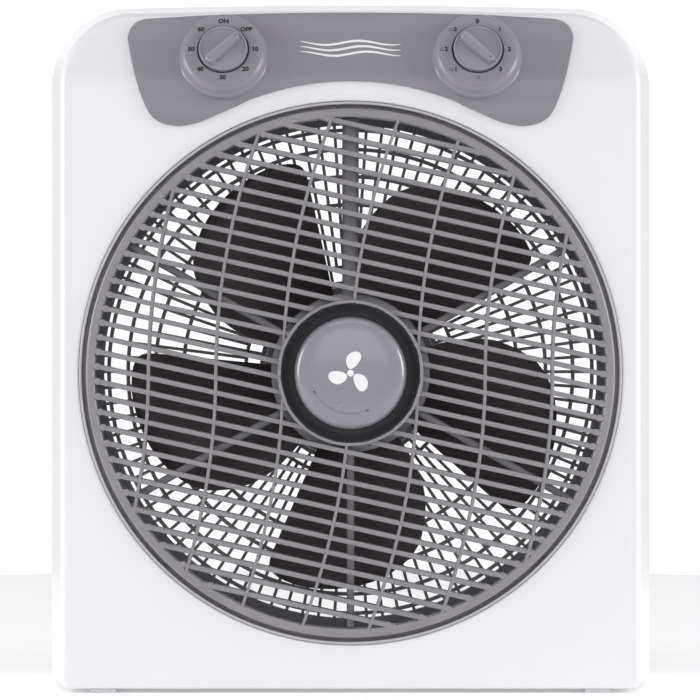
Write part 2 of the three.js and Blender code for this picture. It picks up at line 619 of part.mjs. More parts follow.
function rearGuard() {
  const front = GUARD_EDGE_Y;
  const rear = REAR_Y - WALL - GAP;
  let guard = solid(tube(GUARD_EDGE_R, 166, front, rear, RIM_SEGMENTS));
  guard = guard.add(solid(tube(7, GUARD_PLATE_R, front, rear, GUARD_RIBS)));
  for (const radius of GUARD_RINGS) {
    guard = guard.add(solid(tube(radius - 1, radius + 1, front, rear, GUARD_RIBS)));
  }
  for (let i = 0; i < GUARD_RIBS; i += 1) {
    const rib = box([GUARD_PLATE_R - 1, front, FAN_Z - 0.9], [GUARD_EDGE_R + 1, rear, FAN_Z + 0.9]);
    guard = guard.add(solid(aroundFan(rib, i * 360 / GUARD_RIBS)));
  }
  guard = domed(guard);
  for (const angle of LUG_ANGLES) {
    const [x, z] = polar(GUARD_LUG_R, angle);
    guard = guard.add(solid(rod(5, 44, rear, 10, x, z)));
    guard = guard.subtract(solid(rod(SCREW_HOLE_R, 45, REAR_Y, 8, x, z)));
  }
  for (const side of [-1, 1]) {
    const x = side * MOTOR_SCREW_X;
    guard = guard.add(solid(rod(4.5, MOTOR_REAR + GAP, GUARD_PLATE_Y + 1, 10, x)));
    guard = guard.subtract(solid(rod(SCREW_HOLE_R, 45, 70, 8, x)));
  }
  return guard;
}

// ---------- electrics, feet and fasteners ----------

const capacitor = () => solid(rod(13, 8, 44, 20, CAPACITOR.x, CAPACITOR.z));

function capacitorClamp() {
  const { x, z } = CAPACITOR;
  const band = solid(tube(13.3, 15, 20, 30, 16, x, z));
  const foot = solid(box([x - 5, 20, BASE_Z + WALL + GAP], [x + 5, 30, z - 14]));
  const base = solid(box([x - 14, 20, BASE_Z + WALL + GAP], [x + 14, 30, BASE_Z + WALL + 3]));
  return band.add(foot).add(base);
}

function terminalBlock() {
  const { x, z } = TERMINAL;
  let block = solid(box([x - 18, 34, z - 8], [x + 18, REAR_Y - WALL - GAP, z + 8]));
  for (let way = -1; way <= 1; way += 1) {
    block = block.subtract(solid(rod(3, 30, 44, 12, x + way * 11, z)));
  }
  return block;
}

const cordGland = () => solid(turned([[3.6, REAR_Y - 8], [6, REAR_Y - 8], [7, REAR_Y - 5], [7, REAR_Y + GAP],
  [9.5, REAR_Y + GAP], [9.5, REAR_Y + 2], [5.6, REAR_Y + 6], [3.6, REAR_Y + 6]], 14, GLAND.x, GLAND.z));

// A cable along a curve through the given points.
function cable(points, radius) {
  const path = new THREE.CatmullRomCurve3(points.map((point) => new THREE.Vector3(...point)));
  const section = new THREE.Shape().absarc(0, 0, radius, 0, Math.PI * 2);
  return solid(new THREE.ExtrudeGeometry(section, { steps: 14, curveSegments: 3, extrudePath: path }));
}

const grilleMotorCable = () => cable([
  [0, -36, FAN_Z + 26], [0, -36.5, FAN_Z + 42], [0, -36.2, FAN_Z + 60], [0, -36.2, FAN_Z + 150],
  [6, -34, FAN_Z + 166], [30, -30, FAN_Z + 172], [50, -26, FAN_Z + 174],
], 1.6);

const switchCable = () => cable([
  [TERMINAL.x + 4, 30, TERMINAL.z], [160, 22, 84], [175, 10, 130], [177, 4, 200], [172, -4, 290],
  [150, -12, 345], [118, -22, 372], [98, -30, 378],
], 2.2);

// A stick-on foot: a pad with round corners, longer from front to rear than it is wide.
function foot(x, y) {
  const [halfX, halfY, r] = [9.6, 17, 4];
  const pad = new THREE.Shape();
  pad.absarc(x + halfX - r, y + halfY - r, r, 0, Math.PI / 2);
  pad.absarc(x - halfX + r, y + halfY - r, r, Math.PI / 2, Math.PI);
  pad.absarc(x - halfX + r, y - halfY + r, r, Math.PI, Math.PI * 1.5);
  pad.absarc(x + halfX - r, y - halfY + r, r, Math.PI * 1.5, Math.PI * 2);
  return solid(new THREE.ExtrudeGeometry(pad, { depth: BASE_Z - GAP, bevelEnabled: false, curveSegments: 2 }));
}

// A pan-head screw driven in from the rear: its head's underside is at seatY and it points forwards.
function screw(x, z, seatY, length, shankR = 1.9) {
  return solid(turned([[0, seatY - length], [shankR, seatY - length], [shankR, seatY], [2 * shankR, seatY],
    [2 * shankR, seatY + 1], [shankR, seatY + 2.2], [0, seatY + 2.2]], 6, x, z));
}

// ---------- the assembly ----------

piece('front_shell', frontShell(), white);
piece('rear_shell', rearShell(), white);
piece('control_panel', controlPanel(), panelGrey);
piece('front_frame', frontFrame(), grilleGrey);
piece('rear_guard', rearGuard(), grilleGrey);
piece('motor_cover', motorCover(), grilleGrey);

const DIALS = [['timer', -DIAL_X, 45, 20, 22], ['speed', DIAL_X, 135, 17, 18]];
for (const [dial, x, pointsAt, half, depth] of DIALS) {
  piece(`${dial}_switch_body`, switchBody(x, half, depth), ivory);
  piece(`${dial}_switch_nut`, panelNut(x), steel);
  piece(`${dial}_shaft`, switchShaft(x), steel);
  piece(`${dial}_knob`, dialKnob(x, pointsAt), knobGrey);
}

piece('louvre_grille', louvreGrille(), grilleGrey);
piece('hub_knob', hubKnob(), knobGrey);
piece('grille_motor', grilleMotor(), steel);
piece('grille_motor_shaft', grilleMotorShaft(), steel);
piece('grille_motor_cover', grilleMotorCover(), grilleGrey);

piece('fan_blades', fanBlades(), bladeBrown);
piece('fan_nut', fanNut(), darkPlastic);
piece('motor_shaft', motorShaft(), steel);
piece('motor_rotor', motorRotor(), lamination);
piece('motor_stator', motorStator(), lamination);
piece('motor_winding_front', frontWinding(), copper);
piece('motor_winding_rear', rearWinding(), copper);
piece('motor_front_bracket', motorFrontBracket(), aluminium);
piece('motor_rear_bracket', motorRearBracket(), aluminium);
piece('motor_front_bearing', bearing(MOTOR_FRONT + 2.5), steel);
piece('motor_rear_bearing', bearing(MOTOR_REAR - 6.3), steel);

piece('capacitor', capacitor(), darkPlastic);
piece('capacitor_clamp', capacitorClamp(), steel);
piece('terminal_block', terminalBlock(), ivory);
piece('cord_gland', cordGland(), darkPlastic);
piece('switch_cable', switchCable(), cableGrey);
piece('grille_motor_cable', grilleMotorCable(), cableGrey);

for (const [name, x, y] of [['front_left', -149, -32], ['front_right', 149, -32], ['rear_left', -149, 34],
  ['rear_right', 149, 34]]) {
  piece(`foot_${name}`, foot(x, y), rubber);
}

SCREW_POSTS.forEach(([x, z], i) => {
  piece(`shell_screw_${i + 1}`, screw(x, z, POST_FLOOR_Y + GAP, 26), steel);
});
LUG_ANGLES.forEach((angle, i) => {
  const [frameX, frameZ] = polar(FRAME_LUG_R, angle);
  const [guardX, guardZ] = polar(GUARD_LUG_R, angle);
  piece(`frame_screw_${i + 1}`, screw(frameX, frameZ, FRAME_FLANGE_REAR + GAP, 8), steel);
  piece(`guard_screw_${i + 1}`, screw(guardX, guardZ, REAR_Y + GAP, 11), steel);
});
[-1, 1].forEach((side, i) => {
  piece(`motor_screw_${i + 1}`, screw(side * MOTOR_SCREW_X, FAN_Z, MOTOR_SCREW_SEAT_Y + GAP, 15), steel);
  piece(`grille_motor_screw_${i + 1}`, screw(side * GRILLE_MOTOR_EAR_X, FAN_Z, -39.4 + GAP, 5, 1.3), steel);
});

export default group;
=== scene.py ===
"""The looks of an upright box fan with a turning front louvre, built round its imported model."""

import json
import math

import bmesh
import bpy
from bpy.props import FloatProperty, FloatVectorProperty, IntProperty, PointerProperty
from mathutils import Matrix, Vector


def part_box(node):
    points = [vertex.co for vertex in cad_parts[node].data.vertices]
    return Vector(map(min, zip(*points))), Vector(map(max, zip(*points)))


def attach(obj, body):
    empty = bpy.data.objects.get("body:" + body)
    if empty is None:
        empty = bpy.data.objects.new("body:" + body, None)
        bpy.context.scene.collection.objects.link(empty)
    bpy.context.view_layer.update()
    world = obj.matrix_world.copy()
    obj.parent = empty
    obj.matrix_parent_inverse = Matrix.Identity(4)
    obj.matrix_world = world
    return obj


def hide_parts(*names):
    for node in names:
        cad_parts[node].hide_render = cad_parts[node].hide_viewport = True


bl_info = {
    "name": "Box Fan Looks",
    "version": (1, 0, 0),
    "blender": (4, 5, 0),
    "location": "3D View > Sidebar > Box Fan",
    "description": "Builds the housing, louvre, blades, guard and dials of a box fan",
    "category": "Object",
}

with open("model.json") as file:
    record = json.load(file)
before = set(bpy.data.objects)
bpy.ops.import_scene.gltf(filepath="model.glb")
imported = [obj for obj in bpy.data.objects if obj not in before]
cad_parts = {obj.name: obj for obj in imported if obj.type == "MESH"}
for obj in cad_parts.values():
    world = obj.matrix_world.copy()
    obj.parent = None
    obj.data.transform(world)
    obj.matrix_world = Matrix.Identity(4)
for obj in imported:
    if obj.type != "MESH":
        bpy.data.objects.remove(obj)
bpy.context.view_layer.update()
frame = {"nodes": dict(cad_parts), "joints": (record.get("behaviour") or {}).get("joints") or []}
MM = 0.001

# Places of the main pieces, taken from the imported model.
FRONT_LOW, FRONT_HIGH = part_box("front_shell")
REAR_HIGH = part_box("rear_shell")[1]
LOUVRE_LOW, LOUVRE_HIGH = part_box("louvre_grille")
KNOB_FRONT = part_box("hub_knob")[0].y
FAN_Z = (LOUVRE_LOW.z + LOUVRE_HIGH.z) / 2
FAN_CENTRE = Vector((0, 0, FAN_Z))
LOUVRE_R = (LOUVRE_HIGH.x - LOUVRE_LOW.x) / 2
DIAL_PLACES = {joint["name"]: Vector(joint["pos_m"]) for joint in frame["joints"]}

# The housing.
HALF_WIDTH = REAR_HIGH.x
TOP_BOW = 1.8 * MM
TOP_EDGE = FRONT_HIGH.z - TOP_BOW
BASE_Z = FRONT_LOW.z
FRONT_Y = FRONT_LOW.y
RIM_Y = -1 * MM
REAR_Y = REAR_HIGH.y
DRAFT = 0.2
TOP_CORNER_R = 49 * MM
BASE_CORNER_R = 6 * MM
BASE_ROUNDING = 0.45
WALL = 2.3 * MM
SLOPE = math.radians(22)
CREASE_Z = 370 * MM
CREASE_HALF = 9 * MM
TOE_Z = 35 * MM
TOE_DEPTH = 3.2 * MM
FRONT_OPENING_R = 163.2 * MM
REAR_OPENING_R = 161 * MM
COLLAR_REAR = 43 * MM
RING_STEPS = 192


class HousingSettings(bpy.types.PropertyGroup):
    """Sizes and colours of the housing."""
    edge_radius: FloatProperty(name="Edge radius", description="Rounding of the outer edges of both shells",
                               default=3.2 * MM, unit="LENGTH")
    colour: FloatVectorProperty(name="Shell colour", description="Colour of the moulded shells",
                                default=(0.82, 0.82, 0.838), size=3, subtype="COLOR")
    panel_colour: FloatVectorProperty(name="Panel colour", description="Colour of the control panel",
                                      default=(0.256, 0.243, 0.273), size=3, subtype="COLOR")


class LouvreSettings(bpy.types.PropertyGroup):
    """Sizes of the turning louvre."""
    slat_pitch: FloatProperty(name="Slat pitch", description="Distance from one slat to the next",
                              default=8.75 * MM, unit="LENGTH")
    slat_thickness: FloatProperty(name="Slat thickness", description="Thickness of a slat at its front",
                                  default=3.0 * MM, unit="LENGTH")
    slat_lean: FloatProperty(name="Slat lean", description="Turn of the slats in the plane of the louvre",
                             default=math.radians(12.5), subtype="ANGLE")
    rib_pitch: FloatProperty(name="Rib pitch", description="Distance between the upright ribs",
                             default=40.4 * MM, unit="LENGTH")
    colour: FloatVectorProperty(name="Louvre colour", description="Colour of the louvre and the frame behind it",
                                default=(0.262, 0.25, 0.27), size=3, subtype="COLOR")


class FanSettings(bpy.types.PropertyGroup):
    """Sizes and colours of the fan and the guard."""
    blades: IntProperty(name="Blades", description="Number of blades", default=5, min=2, max=9)
    colour: FloatVectorProperty(name="Blade colour", description="Colour of the blades",
                                default=(0.09, 0.072, 0.077), size=3, subtype="COLOR")
    guard_ribs: IntProperty(name="Guard ribs", description="Number of ribs of the rear guard",
                            default=96, min=12, max=120)


class DialSettings(bpy.types.PropertyGroup):
    """Sizes and colours of the two dials and the lock knob."""
    label_height: FloatProperty(name="Label size", description="Size of the dial numbers",
                                default=3.9 * MM, unit="LENGTH")
    label_radius: FloatProperty(name="Label ring", description="Radius of the ring of dial numbers",
                                default=18.9 * MM, unit="LENGTH")
    colour: FloatVectorProperty(name="Knob colour", description="Colour of the knobs",
                                default=(0.265, 0.255, 0.29), size=3, subtype="COLOR")


class StudioSettings(bpy.types.PropertyGroup):
    """Light, floor and camera."""
    ambient: FloatProperty(name="Ambient", description="Brightness of the light from all round", default=0.46)
    lens: FloatProperty(name="Lens", description="Focal length in millimetres", default=154.3)
    side_power: FloatProperty(name="Side lights", description="Power of each side light in watts", default=9.0)
    top_power: FloatProperty(name="Top light", description="Power of the top light in watts", default=4.5)
    front_power: FloatProperty(name="Front light", description="Power of the front light in watts", default=8.0)


# ---------- finishes ----------

def new_material(name):
    material = bpy.data.materials.get(name) or bpy.data.materials.new(name)
    material.use_nodes = True
    material.node_tree.nodes.clear()
    return material, material.node_tree.nodes, material.node_tree.links


def noise(nodes, links, place, scale, detail=3.0):
    texture = nodes.new("ShaderNodeTexNoise")
    texture.inputs["Scale"].default_value = scale
    texture.inputs["Detail"].default_value = detail
    links.new(place, texture.inputs["Vector"])
    return texture.outputs["Fac"]


def spread(nodes, links, factor, low, high):
    """Maps the middle half of a noise to the range from low to high."""
    mapping = nodes.new("ShaderNodeMapRange")
    mapping.inputs["From Min"].default_value = 0.3
    mapping.inputs["From Max"].default_value = 0.7
    mapping.inputs["To Min"].default_value = low
    mapping.inputs["To Max"].default_value = high
    links.new(factor, mapping.inputs["Value"])
    return mapping.outputs["Result"]


def between(nodes, links, factor, first, second):
    mix = nodes.new("ShaderNodeMix")
    mix.data_type = "RGBA"
    mix.inputs["A"].default_value = (*first, 1)
    mix.inputs["B"].default_value = (*second, 1)
    links.new(factor, mix.inputs["Factor"])
    return mix.outputs["Result"]


def tinted(colour, amount):
    return tuple(min(max(channel * amount, 0), 1) for channel in colour)


def finish(name, colour, roughness, grain=1400.0, bump=0.12, mottle=22.0, uneven=0.03, metallic=0.0,
           coat=0.0, stretch=(1, 1, 1), relief=0.05 * MM, sheen=0.0, smear=0.05):
    """A moulded or metal surface: cloudy colour, uneven gloss, and a fine grain that can be drawn out."""
    material, nodes, links = new_material(name)
    shader = nodes.new("ShaderNodeBsdfPrincipled")
    output = nodes.new("ShaderNodeOutputMaterial")
    links.new(shader.outputs["BSDF"], output.inputs["Surface"])
    place = nodes.new("ShaderNodeTexCoord").outputs["Object"]
    drawn = nodes.new("ShaderNodeMapping")
    drawn.inputs["Scale"].default_value = stretch
    links.new(place, drawn.inputs["Vector"])
    clouds = spread(nodes, links, noise(nodes, links, place, mottle), 0, 1)
    links.new(between(nodes, links, clouds, tinted(colour, 1 - uneven), tinted(colour, 1 + uneven)),
              shader.inputs["Base Color"])
    fine = noise(nodes, links, drawn.outputs["Vector"], grain, 5.0)
    smears = noise(nodes, links, place, mottle * 3.1)
    links.new(spread(nodes, links, smears, roughness - smear, roughness + smear), shader.inputs["Roughness"])
    surface = nodes.new("ShaderNodeBump")
    surface.inputs["Strength"].default_value = bump
    surface.inputs["Distance"].default_value = relief
    links.new(fine, surface.inputs["Height"])
    links.new(surface.outputs["Normal"], shader.inputs["Normal"])
    shader.inputs["Metallic"].default_value = metallic
    shader.inputs["Coat Weight"].default_value = coat
    shader.inputs["Coat Roughness"].default_value = 0.12
    shader.inputs["Sheen Weight"].default_value = sheen
    return material


def shader_of(material):
    return next(node for node in material.node_tree.nodes if node.type == "BSDF_PRINCIPLED")


def laminated(name, colour):
    """Stacked steel sheets: thin dark lines along the motor's axis."""
    material = finish(name, colour, 0.42, metallic=0.85, grain=600.0)
    nodes, links = material.node_tree.nodes, material.node_tree.links
    wave = nodes.new("ShaderNodeTexWave")
    wave.bands_direction = "Y"
    wave.inputs["Scale"].default_value = 320
    wave.inputs["Distortion"].default_value = 0.4
    links.new(nodes.new("ShaderNodeTexCoord").outputs["Object"], wave.inputs["Vector"])
    links.new(between(nodes, links, wave.outputs["Fac"], tinted(colour, 0.6), tinted(colour, 1.15)),
              shader_of(material).inputs["Base Color"])
    return material


def wound(name, colour):
    """Enamelled copper wire laid in turns round the coil."""
    material = finish(name, colour, 0.34, metallic=0.8, grain=500.0)
    nodes, links = material.node_tree.nodes, material.node_tree.links
    middle = nodes.new("ShaderNodeMapping")
    middle.inputs["Location"].default_value = (0, 0, -FAN_Z)
    links.new(nodes.new("ShaderNodeTexCoord").outputs["Object"], middle.inputs["Vector"])
    wave = nodes.new("ShaderNodeTexWave")
    wave.wave_type = "RINGS"
    wave.rings_direction = "Y"
    wave.inputs["Scale"].default_value = 240
    wave.inputs["Distortion"].default_value = 1.5
    links.new(middle.outputs["Vector"], wave.inputs["Vector"])
    links.new(between(nodes, links, wave.outputs["Fac"], tinted(colour, 0.5), tinted(colour, 1.2)),
              shader_of(material).inputs["Base Color"])
    return material


def build_finishes(scene):
    """Makes every finish once and gives them by name."""
    housing, louvre, fan, dial = scene.fan_housing, scene.fan_louvre, scene.fan_blades, scene.fan_dials
    return {
        "white": finish("white_moulding", tuple(housing.colour), 0.34, grain=1100, bump=0.06, mottle=9,
                        uneven=0.012, coat=0.15, smear=0.02),
        "panel": finish("panel_moulding", tuple(housing.panel_colour), 0.33, grain=1500, bump=0.1, mottle=14,
                        smear=0.012),
        "grille": finish("grille_moulding", tuple(louvre.colour), 0.38, grain=1500, bump=0.1, mottle=30, uneven=0.05),
        "guard": finish("guard_moulding", tinted(louvre.colour, 1.7), 0.4, grain=1500, bump=0.1, mottle=30,
                        uneven=0.05),
        "frame": finish("frame_moulding", tinted(louvre.colour, 1.9), 0.4, grain=1500, bump=0.1, mottle=30,
                        uneven=0.05),
        # Hub cup: its near-black colour is painted shade for the shadow in the recess round the lock knob; the louvre
        # is one grey moulding there.
        "painted_shade_cup": finish("hub_cup_moulding", (0.032, 0.031, 0.034), 0.24, grain=1500, bump=0.06, mottle=30,
                      uneven=0.03, smear=0.01),
        "knob": finish("knob_moulding", tuple(dial.colour), 0.28, grain=1700, bump=0.05, mottle=20, coat=0.6,
                       smear=0.01),
        "blade": finish("blade_moulding", tuple(fan.colour), 0.36, grain=900, bump=0.08, mottle=18, uneven=0.12),
        "ink": finish("label_ink", (0.012, 0.012, 0.014), 0.55, grain=2500, bump=0.05, mottle=60, uneven=0.3),
        "white_ink": finish("mark_ink", (0.9, 0.9, 0.91), 0.45, grain=2500, bump=0.05, mottle=60, uneven=0.02),
        "dark": finish("dark_moulding", (0.03, 0.03, 0.032), 0.5, grain=1300, mottle=25, uneven=0.15),
        "rubber": finish("foot_rubber", (0.7, 0.7, 0.72), 0.7, grain=1800, bump=0.3, mottle=80, uneven=0.06,
                         sheen=0.1),
        "steel": finish("turned_steel", (0.56, 0.56, 0.58), 0.3, metallic=1.0, stretch=(1, 12, 1), grain=500,
                        bump=0.15, mottle=60, uneven=0.06),
        "zinc": finish("zinc_screw", (0.5, 0.5, 0.53), 0.36, metallic=1.0, grain=900, mottle=300, uneven=0.12),
        "aluminium": finish("cast_aluminium", (0.55, 0.55, 0.56), 0.48, metallic=0.9, grain=420, bump=0.35,
                            mottle=70, uneven=0.08),
        "lamination": laminated("motor_lamination", (0.22, 0.22, 0.23)),
        "copper": wound("copper_winding", (0.5, 0.19, 0.06)),
        "ivory": finish("ivory_moulding", (0.72, 0.67, 0.56), 0.5, grain=1200, mottle=40, uneven=0.05),
        "sheath": finish("cable_sheath", (0.1, 0.1, 0.11), 0.5, grain=1500, mottle=60, uneven=0.12),
    }


FINISHES = {}


def ready_finishes(scene):
    """Fills the table of finishes the first time that an operator needs it."""
    if not FINISHES:
        FINISHES.update(build_finishes(scene))


CAD_FINISHES = {
    "steel": ["timer_switch_nut", "speed_switch_nut", "timer_shaft", "speed_shaft", "grille_motor",
              "grille_motor_shaft", "motor_shaft", "motor_front_bearing", "motor_rear_bearing", "capacitor_clamp"],
    "aluminium": ["motor_front_bracket", "motor_rear_bracket"],
    "lamination": ["motor_rotor", "motor_stator"],
    "copper": ["motor_winding_front", "motor_winding_rear"],
    "ivory": ["timer_switch_body", "speed_switch_body", "terminal_block"],
    "sheath": ["switch_cable", "grille_motor_cable"],
    "dark": ["capacitor"],
    "zinc": [name for name in frame["nodes"] if "_screw_" in name],
}


# ---------- shaping helpers ----------

def finished_piece(context, name, bm, material, body, stands_for=(), smooth=32, closed=True):
    """Turns a bmesh into an object that rides on its body and stands for its CAD nodes."""
    bmesh.ops.remove_doubles(bm, verts=bm.verts, dist=0.002 * MM)
    if closed:
        bmesh.ops.recalc_face_normals(bm, faces=bm.faces)
    mesh = bpy.data.meshes.new(name)
    bm.to_mesh(mesh)
    bm.free()
    for look in (material if isinstance(material, list) else [material]):
        mesh.materials.append(FINISHES[look])
    mesh.shade_smooth()
    mesh.set_sharp_from_angle(angle=math.radians(smooth))
    piece = bpy.data.objects.new(name, mesh)
    context.scene.collection.objects.link(piece)
    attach(piece, body)
    if stands_for:
        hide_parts(*stands_for)
    return piece


def in_mm(pairs):
    """Turns pairs given in millimetres into metres."""
    return [(first * MM, second * MM) for first, second in pairs]


def fresh_part(bm, make):
    """Runs make and gives the vertices and faces that it added."""
    old_verts, old_faces = set(bm.verts), set(bm.faces)
    make()
    return [v for v in bm.verts if v not in old_verts], [f for f in bm.faces if f not in old_faces]


def turn(bm, profile, steps, place=None, closed=False, material=0):
    """Spins a profile of (radius, y) pairs round the Y axis, then puts it in its place."""
    def spin():
        verts = [bm.verts.new((radius, y, 0)) for radius, y in profile]
        pairs = list(zip(verts, verts[1:]))
        if closed:
            pairs.append((verts[-1], verts[0]))
        edges = [bm.edges.new(pair) for pair in pairs]
        bmesh.ops.spin(bm, geom=verts + edges, cent=(0, 0, 0), axis=(0, 1, 0), dvec=(0, 0, 0), angle=math.tau,
                       steps=steps, use_merge=True, use_normal_flip=False, use_duplicate=False)
    verts, faces = fresh_part(bm, spin)
    bmesh.ops.transform(bm, matrix=place or Matrix.Translation(FAN_CENTRE), verts=verts)
    for face in faces:
        face.material_index = material
    bmesh.ops.remove_doubles(bm, verts=verts, dist=0.002 * MM)


def block(bm, low, high, place=None, bevel=0.0, segments=2):
    """A box from its two corners, with rounded edges, then put in its place."""
    def make():
        cube = bmesh.ops.create_cube(bm, size=1)["verts"]
        size = Vector(high) - Vector(low)
        bmesh.ops.scale(bm, vec=size, verts=cube)
        bmesh.ops.translate(bm, vec=(Vector(low) + Vector(high)) / 2, verts=cube)
        if bevel:
            edges = list({edge for vert in cube for edge in vert.link_edges})
            bmesh.ops.bevel(bm, geom=edges, offset=bevel, segments=segments, profile=0.5, affect="EDGES",
                            material=-1, clamp_overlap=True)
    verts, _ = fresh_part(bm, make)
    if place:
        bmesh.ops.transform(bm, matrix=place, verts=verts)
    return verts


def slab(bm, outline, front, rear, bevel=0.0, segments=3, place=None):
    """A flat piece with the given (x, z) outline, from front to rear, with its front edge rounded."""
    def make():
        ring = bmesh.ops.create_circle(bm, cap_ends=True, segments=len(outline), radius=1)["verts"]
        for vert, (x, z) in zip(ring, outline):
            vert.co = (x, rear, z)
        face = ring[0].link_faces[0]
        raised = bmesh.ops.extrude_face_region(bm, geom=[face])["geom"]
        lifted = [item for item in raised if isinstance(item, bmesh.types.BMVert)]
        top = next(item for item in raised if isinstance(item, bmesh.types.BMFace))
        for vert in lifted:
            vert.co.y = front
        if bevel:
            bmesh.ops.bevel(bm, geom=list(top.edges), offset=bevel, segments=segments, profile=0.5,
                            affect="EDGES", material=-1, clamp_overlap=True)
    verts, _ = fresh_part(bm, make)
    if place:
        bmesh.ops.transform(bm, matrix=place, verts=verts)


def grow(bm, ring, places):
    """Extrudes a closed ring of vertices and moves the new ring to its places."""
    edges = [bm.edges.get((ring[i - 1], ring[i])) for i in range(len(ring))]
    made = bmesh.ops.extrude_edge_only(bm, edges=edges)["geom"]
    by_place = {tuple(item.co): item for item in made if isinstance(item, bmesh.types.BMVert)}
    grown = [by_place[tuple(vert.co)] for vert in ring]
    for vert, place in zip(grown, places):
        vert.co = place
    return grown


def first_ring(bm, places):
    ring = bmesh.ops.create_circle(bm, cap_ends=False, segments=len(places), radius=1)["verts"]
    for vert, place in zip(ring, places):
        vert.co = place
    return ring


def around_fan(angle):
    """Turns a piece about the fan's axis, anticlockwise seen from the front."""
    return Matrix.Translation(FAN_CENTRE) @ Matrix.Rotation(-angle, 4, "Y") @ Matrix.Translation(-FAN_CENTRE)


def polar(radius, angle):
    return radius * math.cos(angle), FAN_Z + radius * math.sin(angle)


def smooth_table(table, at):
    """A smooth curve through a table of (position, value) rows."""
    if at <= table[0][0]:
        return table[0][1]
    for i in range(len(table) - 1):
        (a, left), (b, right) = table[i], table[i + 1]
        if at <= b:
            before = table[i - 1] if i else table[i]
            after = table[i + 2] if i + 2 < len(table) else table[i + 1]
            share = (at - a) / (b - a)
            slope_in = (right - before[1]) / (b - before[0]) * (b - a)
            slope_out = (after[1] - left) / (after[0] - a) * (b - a)
            s2, s3 = share ** 2, share ** 3
            return ((2 * s3 - 3 * s2 + 1) * left + (s3 - 2 * s2 + share) * slope_in
                    + (3 * s2 - 2 * s3) * right + (s3 - s2) * slope_out)
    return table[-1][1]


# ---------- the housing ----------

STRETCHES = [("base", 36), ("base_right", 10), ("right", 36), ("top_right", 22), ("top", 36), ("top_left", 22),
             ("left", 36), ("base_left", 10)]
STATIONS = [(side, i / count) for side, count in STRETCHES for i in range(count)]


def outline_point(station, inset, rounding=0.0):
    """A point on the housing's outline, drawn in by the draft, which spares the flat base, and by the rounding."""
    side, share = station
    inset += rounding
    half, top, base = HALF_WIDTH - inset, TOP_EDGE - inset, BASE_Z + BASE_ROUNDING * rounding
    top_r = TOP_CORNER_R - 0.6 * inset
    base_r = BASE_CORNER_R
    corners = {
        "base_right": (half - base_r, base + base_r, base_r, -90),
        "top_right": (half - top_r, top - top_r, top_r, 0),
        "top_left": (top_r - half, top - top_r, top_r, 90),
        "base_left": (base_r - half, base + base_r, base_r, 180),
    }
    if side in corners:
        x, z, radius, start = corners[side]
        angle = math.radians(start + 90 * share)
        return x + radius * math.cos(angle), z + radius * math.sin(angle)
    if side == "base":
        return (base_r - half) + share * 2 * (half - base_r), base
    if side == "top":
        across = 1 - 2 * share
        return across * (half - top_r), top + TOP_BOW * (1 - across ** 2)
    low, high = base + base_r, top - top_r
    if side == "right":
        return half, low + share * (high - low)
    return -half, high + share * (low - high)


def face_y(z):
    """Depth of the front face at a height: a small toe, the upright face, a soft bend and the slope."""
    if z < TOE_Z:
        return FRONT_Y + TOE_DEPTH * ((TOE_Z - z) / (TOE_Z - BASE_Z)) ** 1.3
    start = CREASE_Z - CREASE_HALF
    if z < start:
        return FRONT_Y
    bend = CREASE_HALF / math.tan(SLOPE / 2)
    if z < start + bend * math.sin(SLOPE):
        return FRONT_Y + bend - math.sqrt(bend ** 2 - (z - start) ** 2)
    return FRONT_Y + (z - CREASE_Z) * math.tan(SLOPE)


def shell_sheet(bm, edge_radius, face, facing, opening_r, collar):
    """One shell as a sheet: rim, drafted wall, rounded edge, face and the collar of its round opening."""
    def ring(inset_of, y_of, rounding=0.0):
        places = []
        for station in STATIONS:
            x, z = outline_point(station, 0)
            for _ in range(2):
                y = y_of(z)
                x, z = outline_point(station, inset_of(y), rounding)
            places.append(Vector((x, y_of(z), z)))
        return places

    def draft(y):
        return DRAFT * abs(y - RIM_Y)

    def on_wall(share):
        return lambda z: RIM_Y + facing * 0.15 * MM + (face(z) - facing * edge_radius - RIM_Y) * share

    rows = first_ring(bm, ring(lambda y: 0.9 * MM, lambda z: RIM_Y + facing * 0.15 * MM))
    rows = grow(bm, rows, ring(lambda y: 0.25 * MM, lambda z: RIM_Y + facing * 0.3 * MM))
    rows = grow(bm, rows, ring(lambda y: 0.0, lambda z: RIM_Y + facing * 0.9 * MM))
    for share in (0.1, 0.3, 0.5, 0.7, 0.9, 1.0):
        rows = grow(bm, rows, ring(draft, on_wall(share)))
    for i in range(1, 7):
        angle = math.pi / 2 * i / 6
        drawn_in, ahead = edge_radius * (1 - math.cos(angle)), edge_radius * (1 - math.sin(angle))
        rows = grow(bm, rows, ring(draft, lambda z, a=ahead: face(z) - facing * a, drawn_in))
    outer = [vert.co.copy() for vert in rows]
    lip = 1.3 * MM
    on_circle = []
    for place in outer:
        angle = math.atan2(place.z - FAN_Z, place.x)
        on_circle.append(polar(opening_r + lip, angle) + (angle,))
    steps = 14
    for i in range(1, steps + 1):
        share = i / steps
        places = []
        for start, (x, z, _) in zip(outer, on_circle):
            at_z = start.z + (z - start.z) * share
            places.append(Vector((start.x + (x - start.x) * share, face(at_z), at_z)))
        rows = grow(bm, rows, places)
    for i in range(1, 4):
        angle = math.pi / 2 * i / 3
        places = []
        for _, _, around in on_circle:
            x, z = polar(opening_r + lip * (1 - math.sin(angle)), around)
            places.append(Vector((x, face(z) - facing * lip * (1 - math.cos(angle)), z)))
        rows = grow(bm, rows, places)
    for y in collar:
        rows = grow(bm, rows, [Vector((*polar(opening_r, around), y)).xzy for _, _, around in on_circle])
    return rows


def walled(bm, facing):
    """Makes the sheet's faces point outwards and gives it the thickness of the wall."""
    bmesh.ops.recalc_face_normals(bm, faces=bm.faces)
    bm.normal_update()
    flat = max(bm.faces, key=lambda face: abs(face.normal.y) * (1 if abs(face.calc_center_median().x) > 0.1 else 0))
    if flat.normal.y * facing < 0:
        bmesh.ops.reverse_faces(bm, faces=bm.faces)
    bmesh.ops.solidify(bm, geom=bm.faces[:], thickness=WALL)


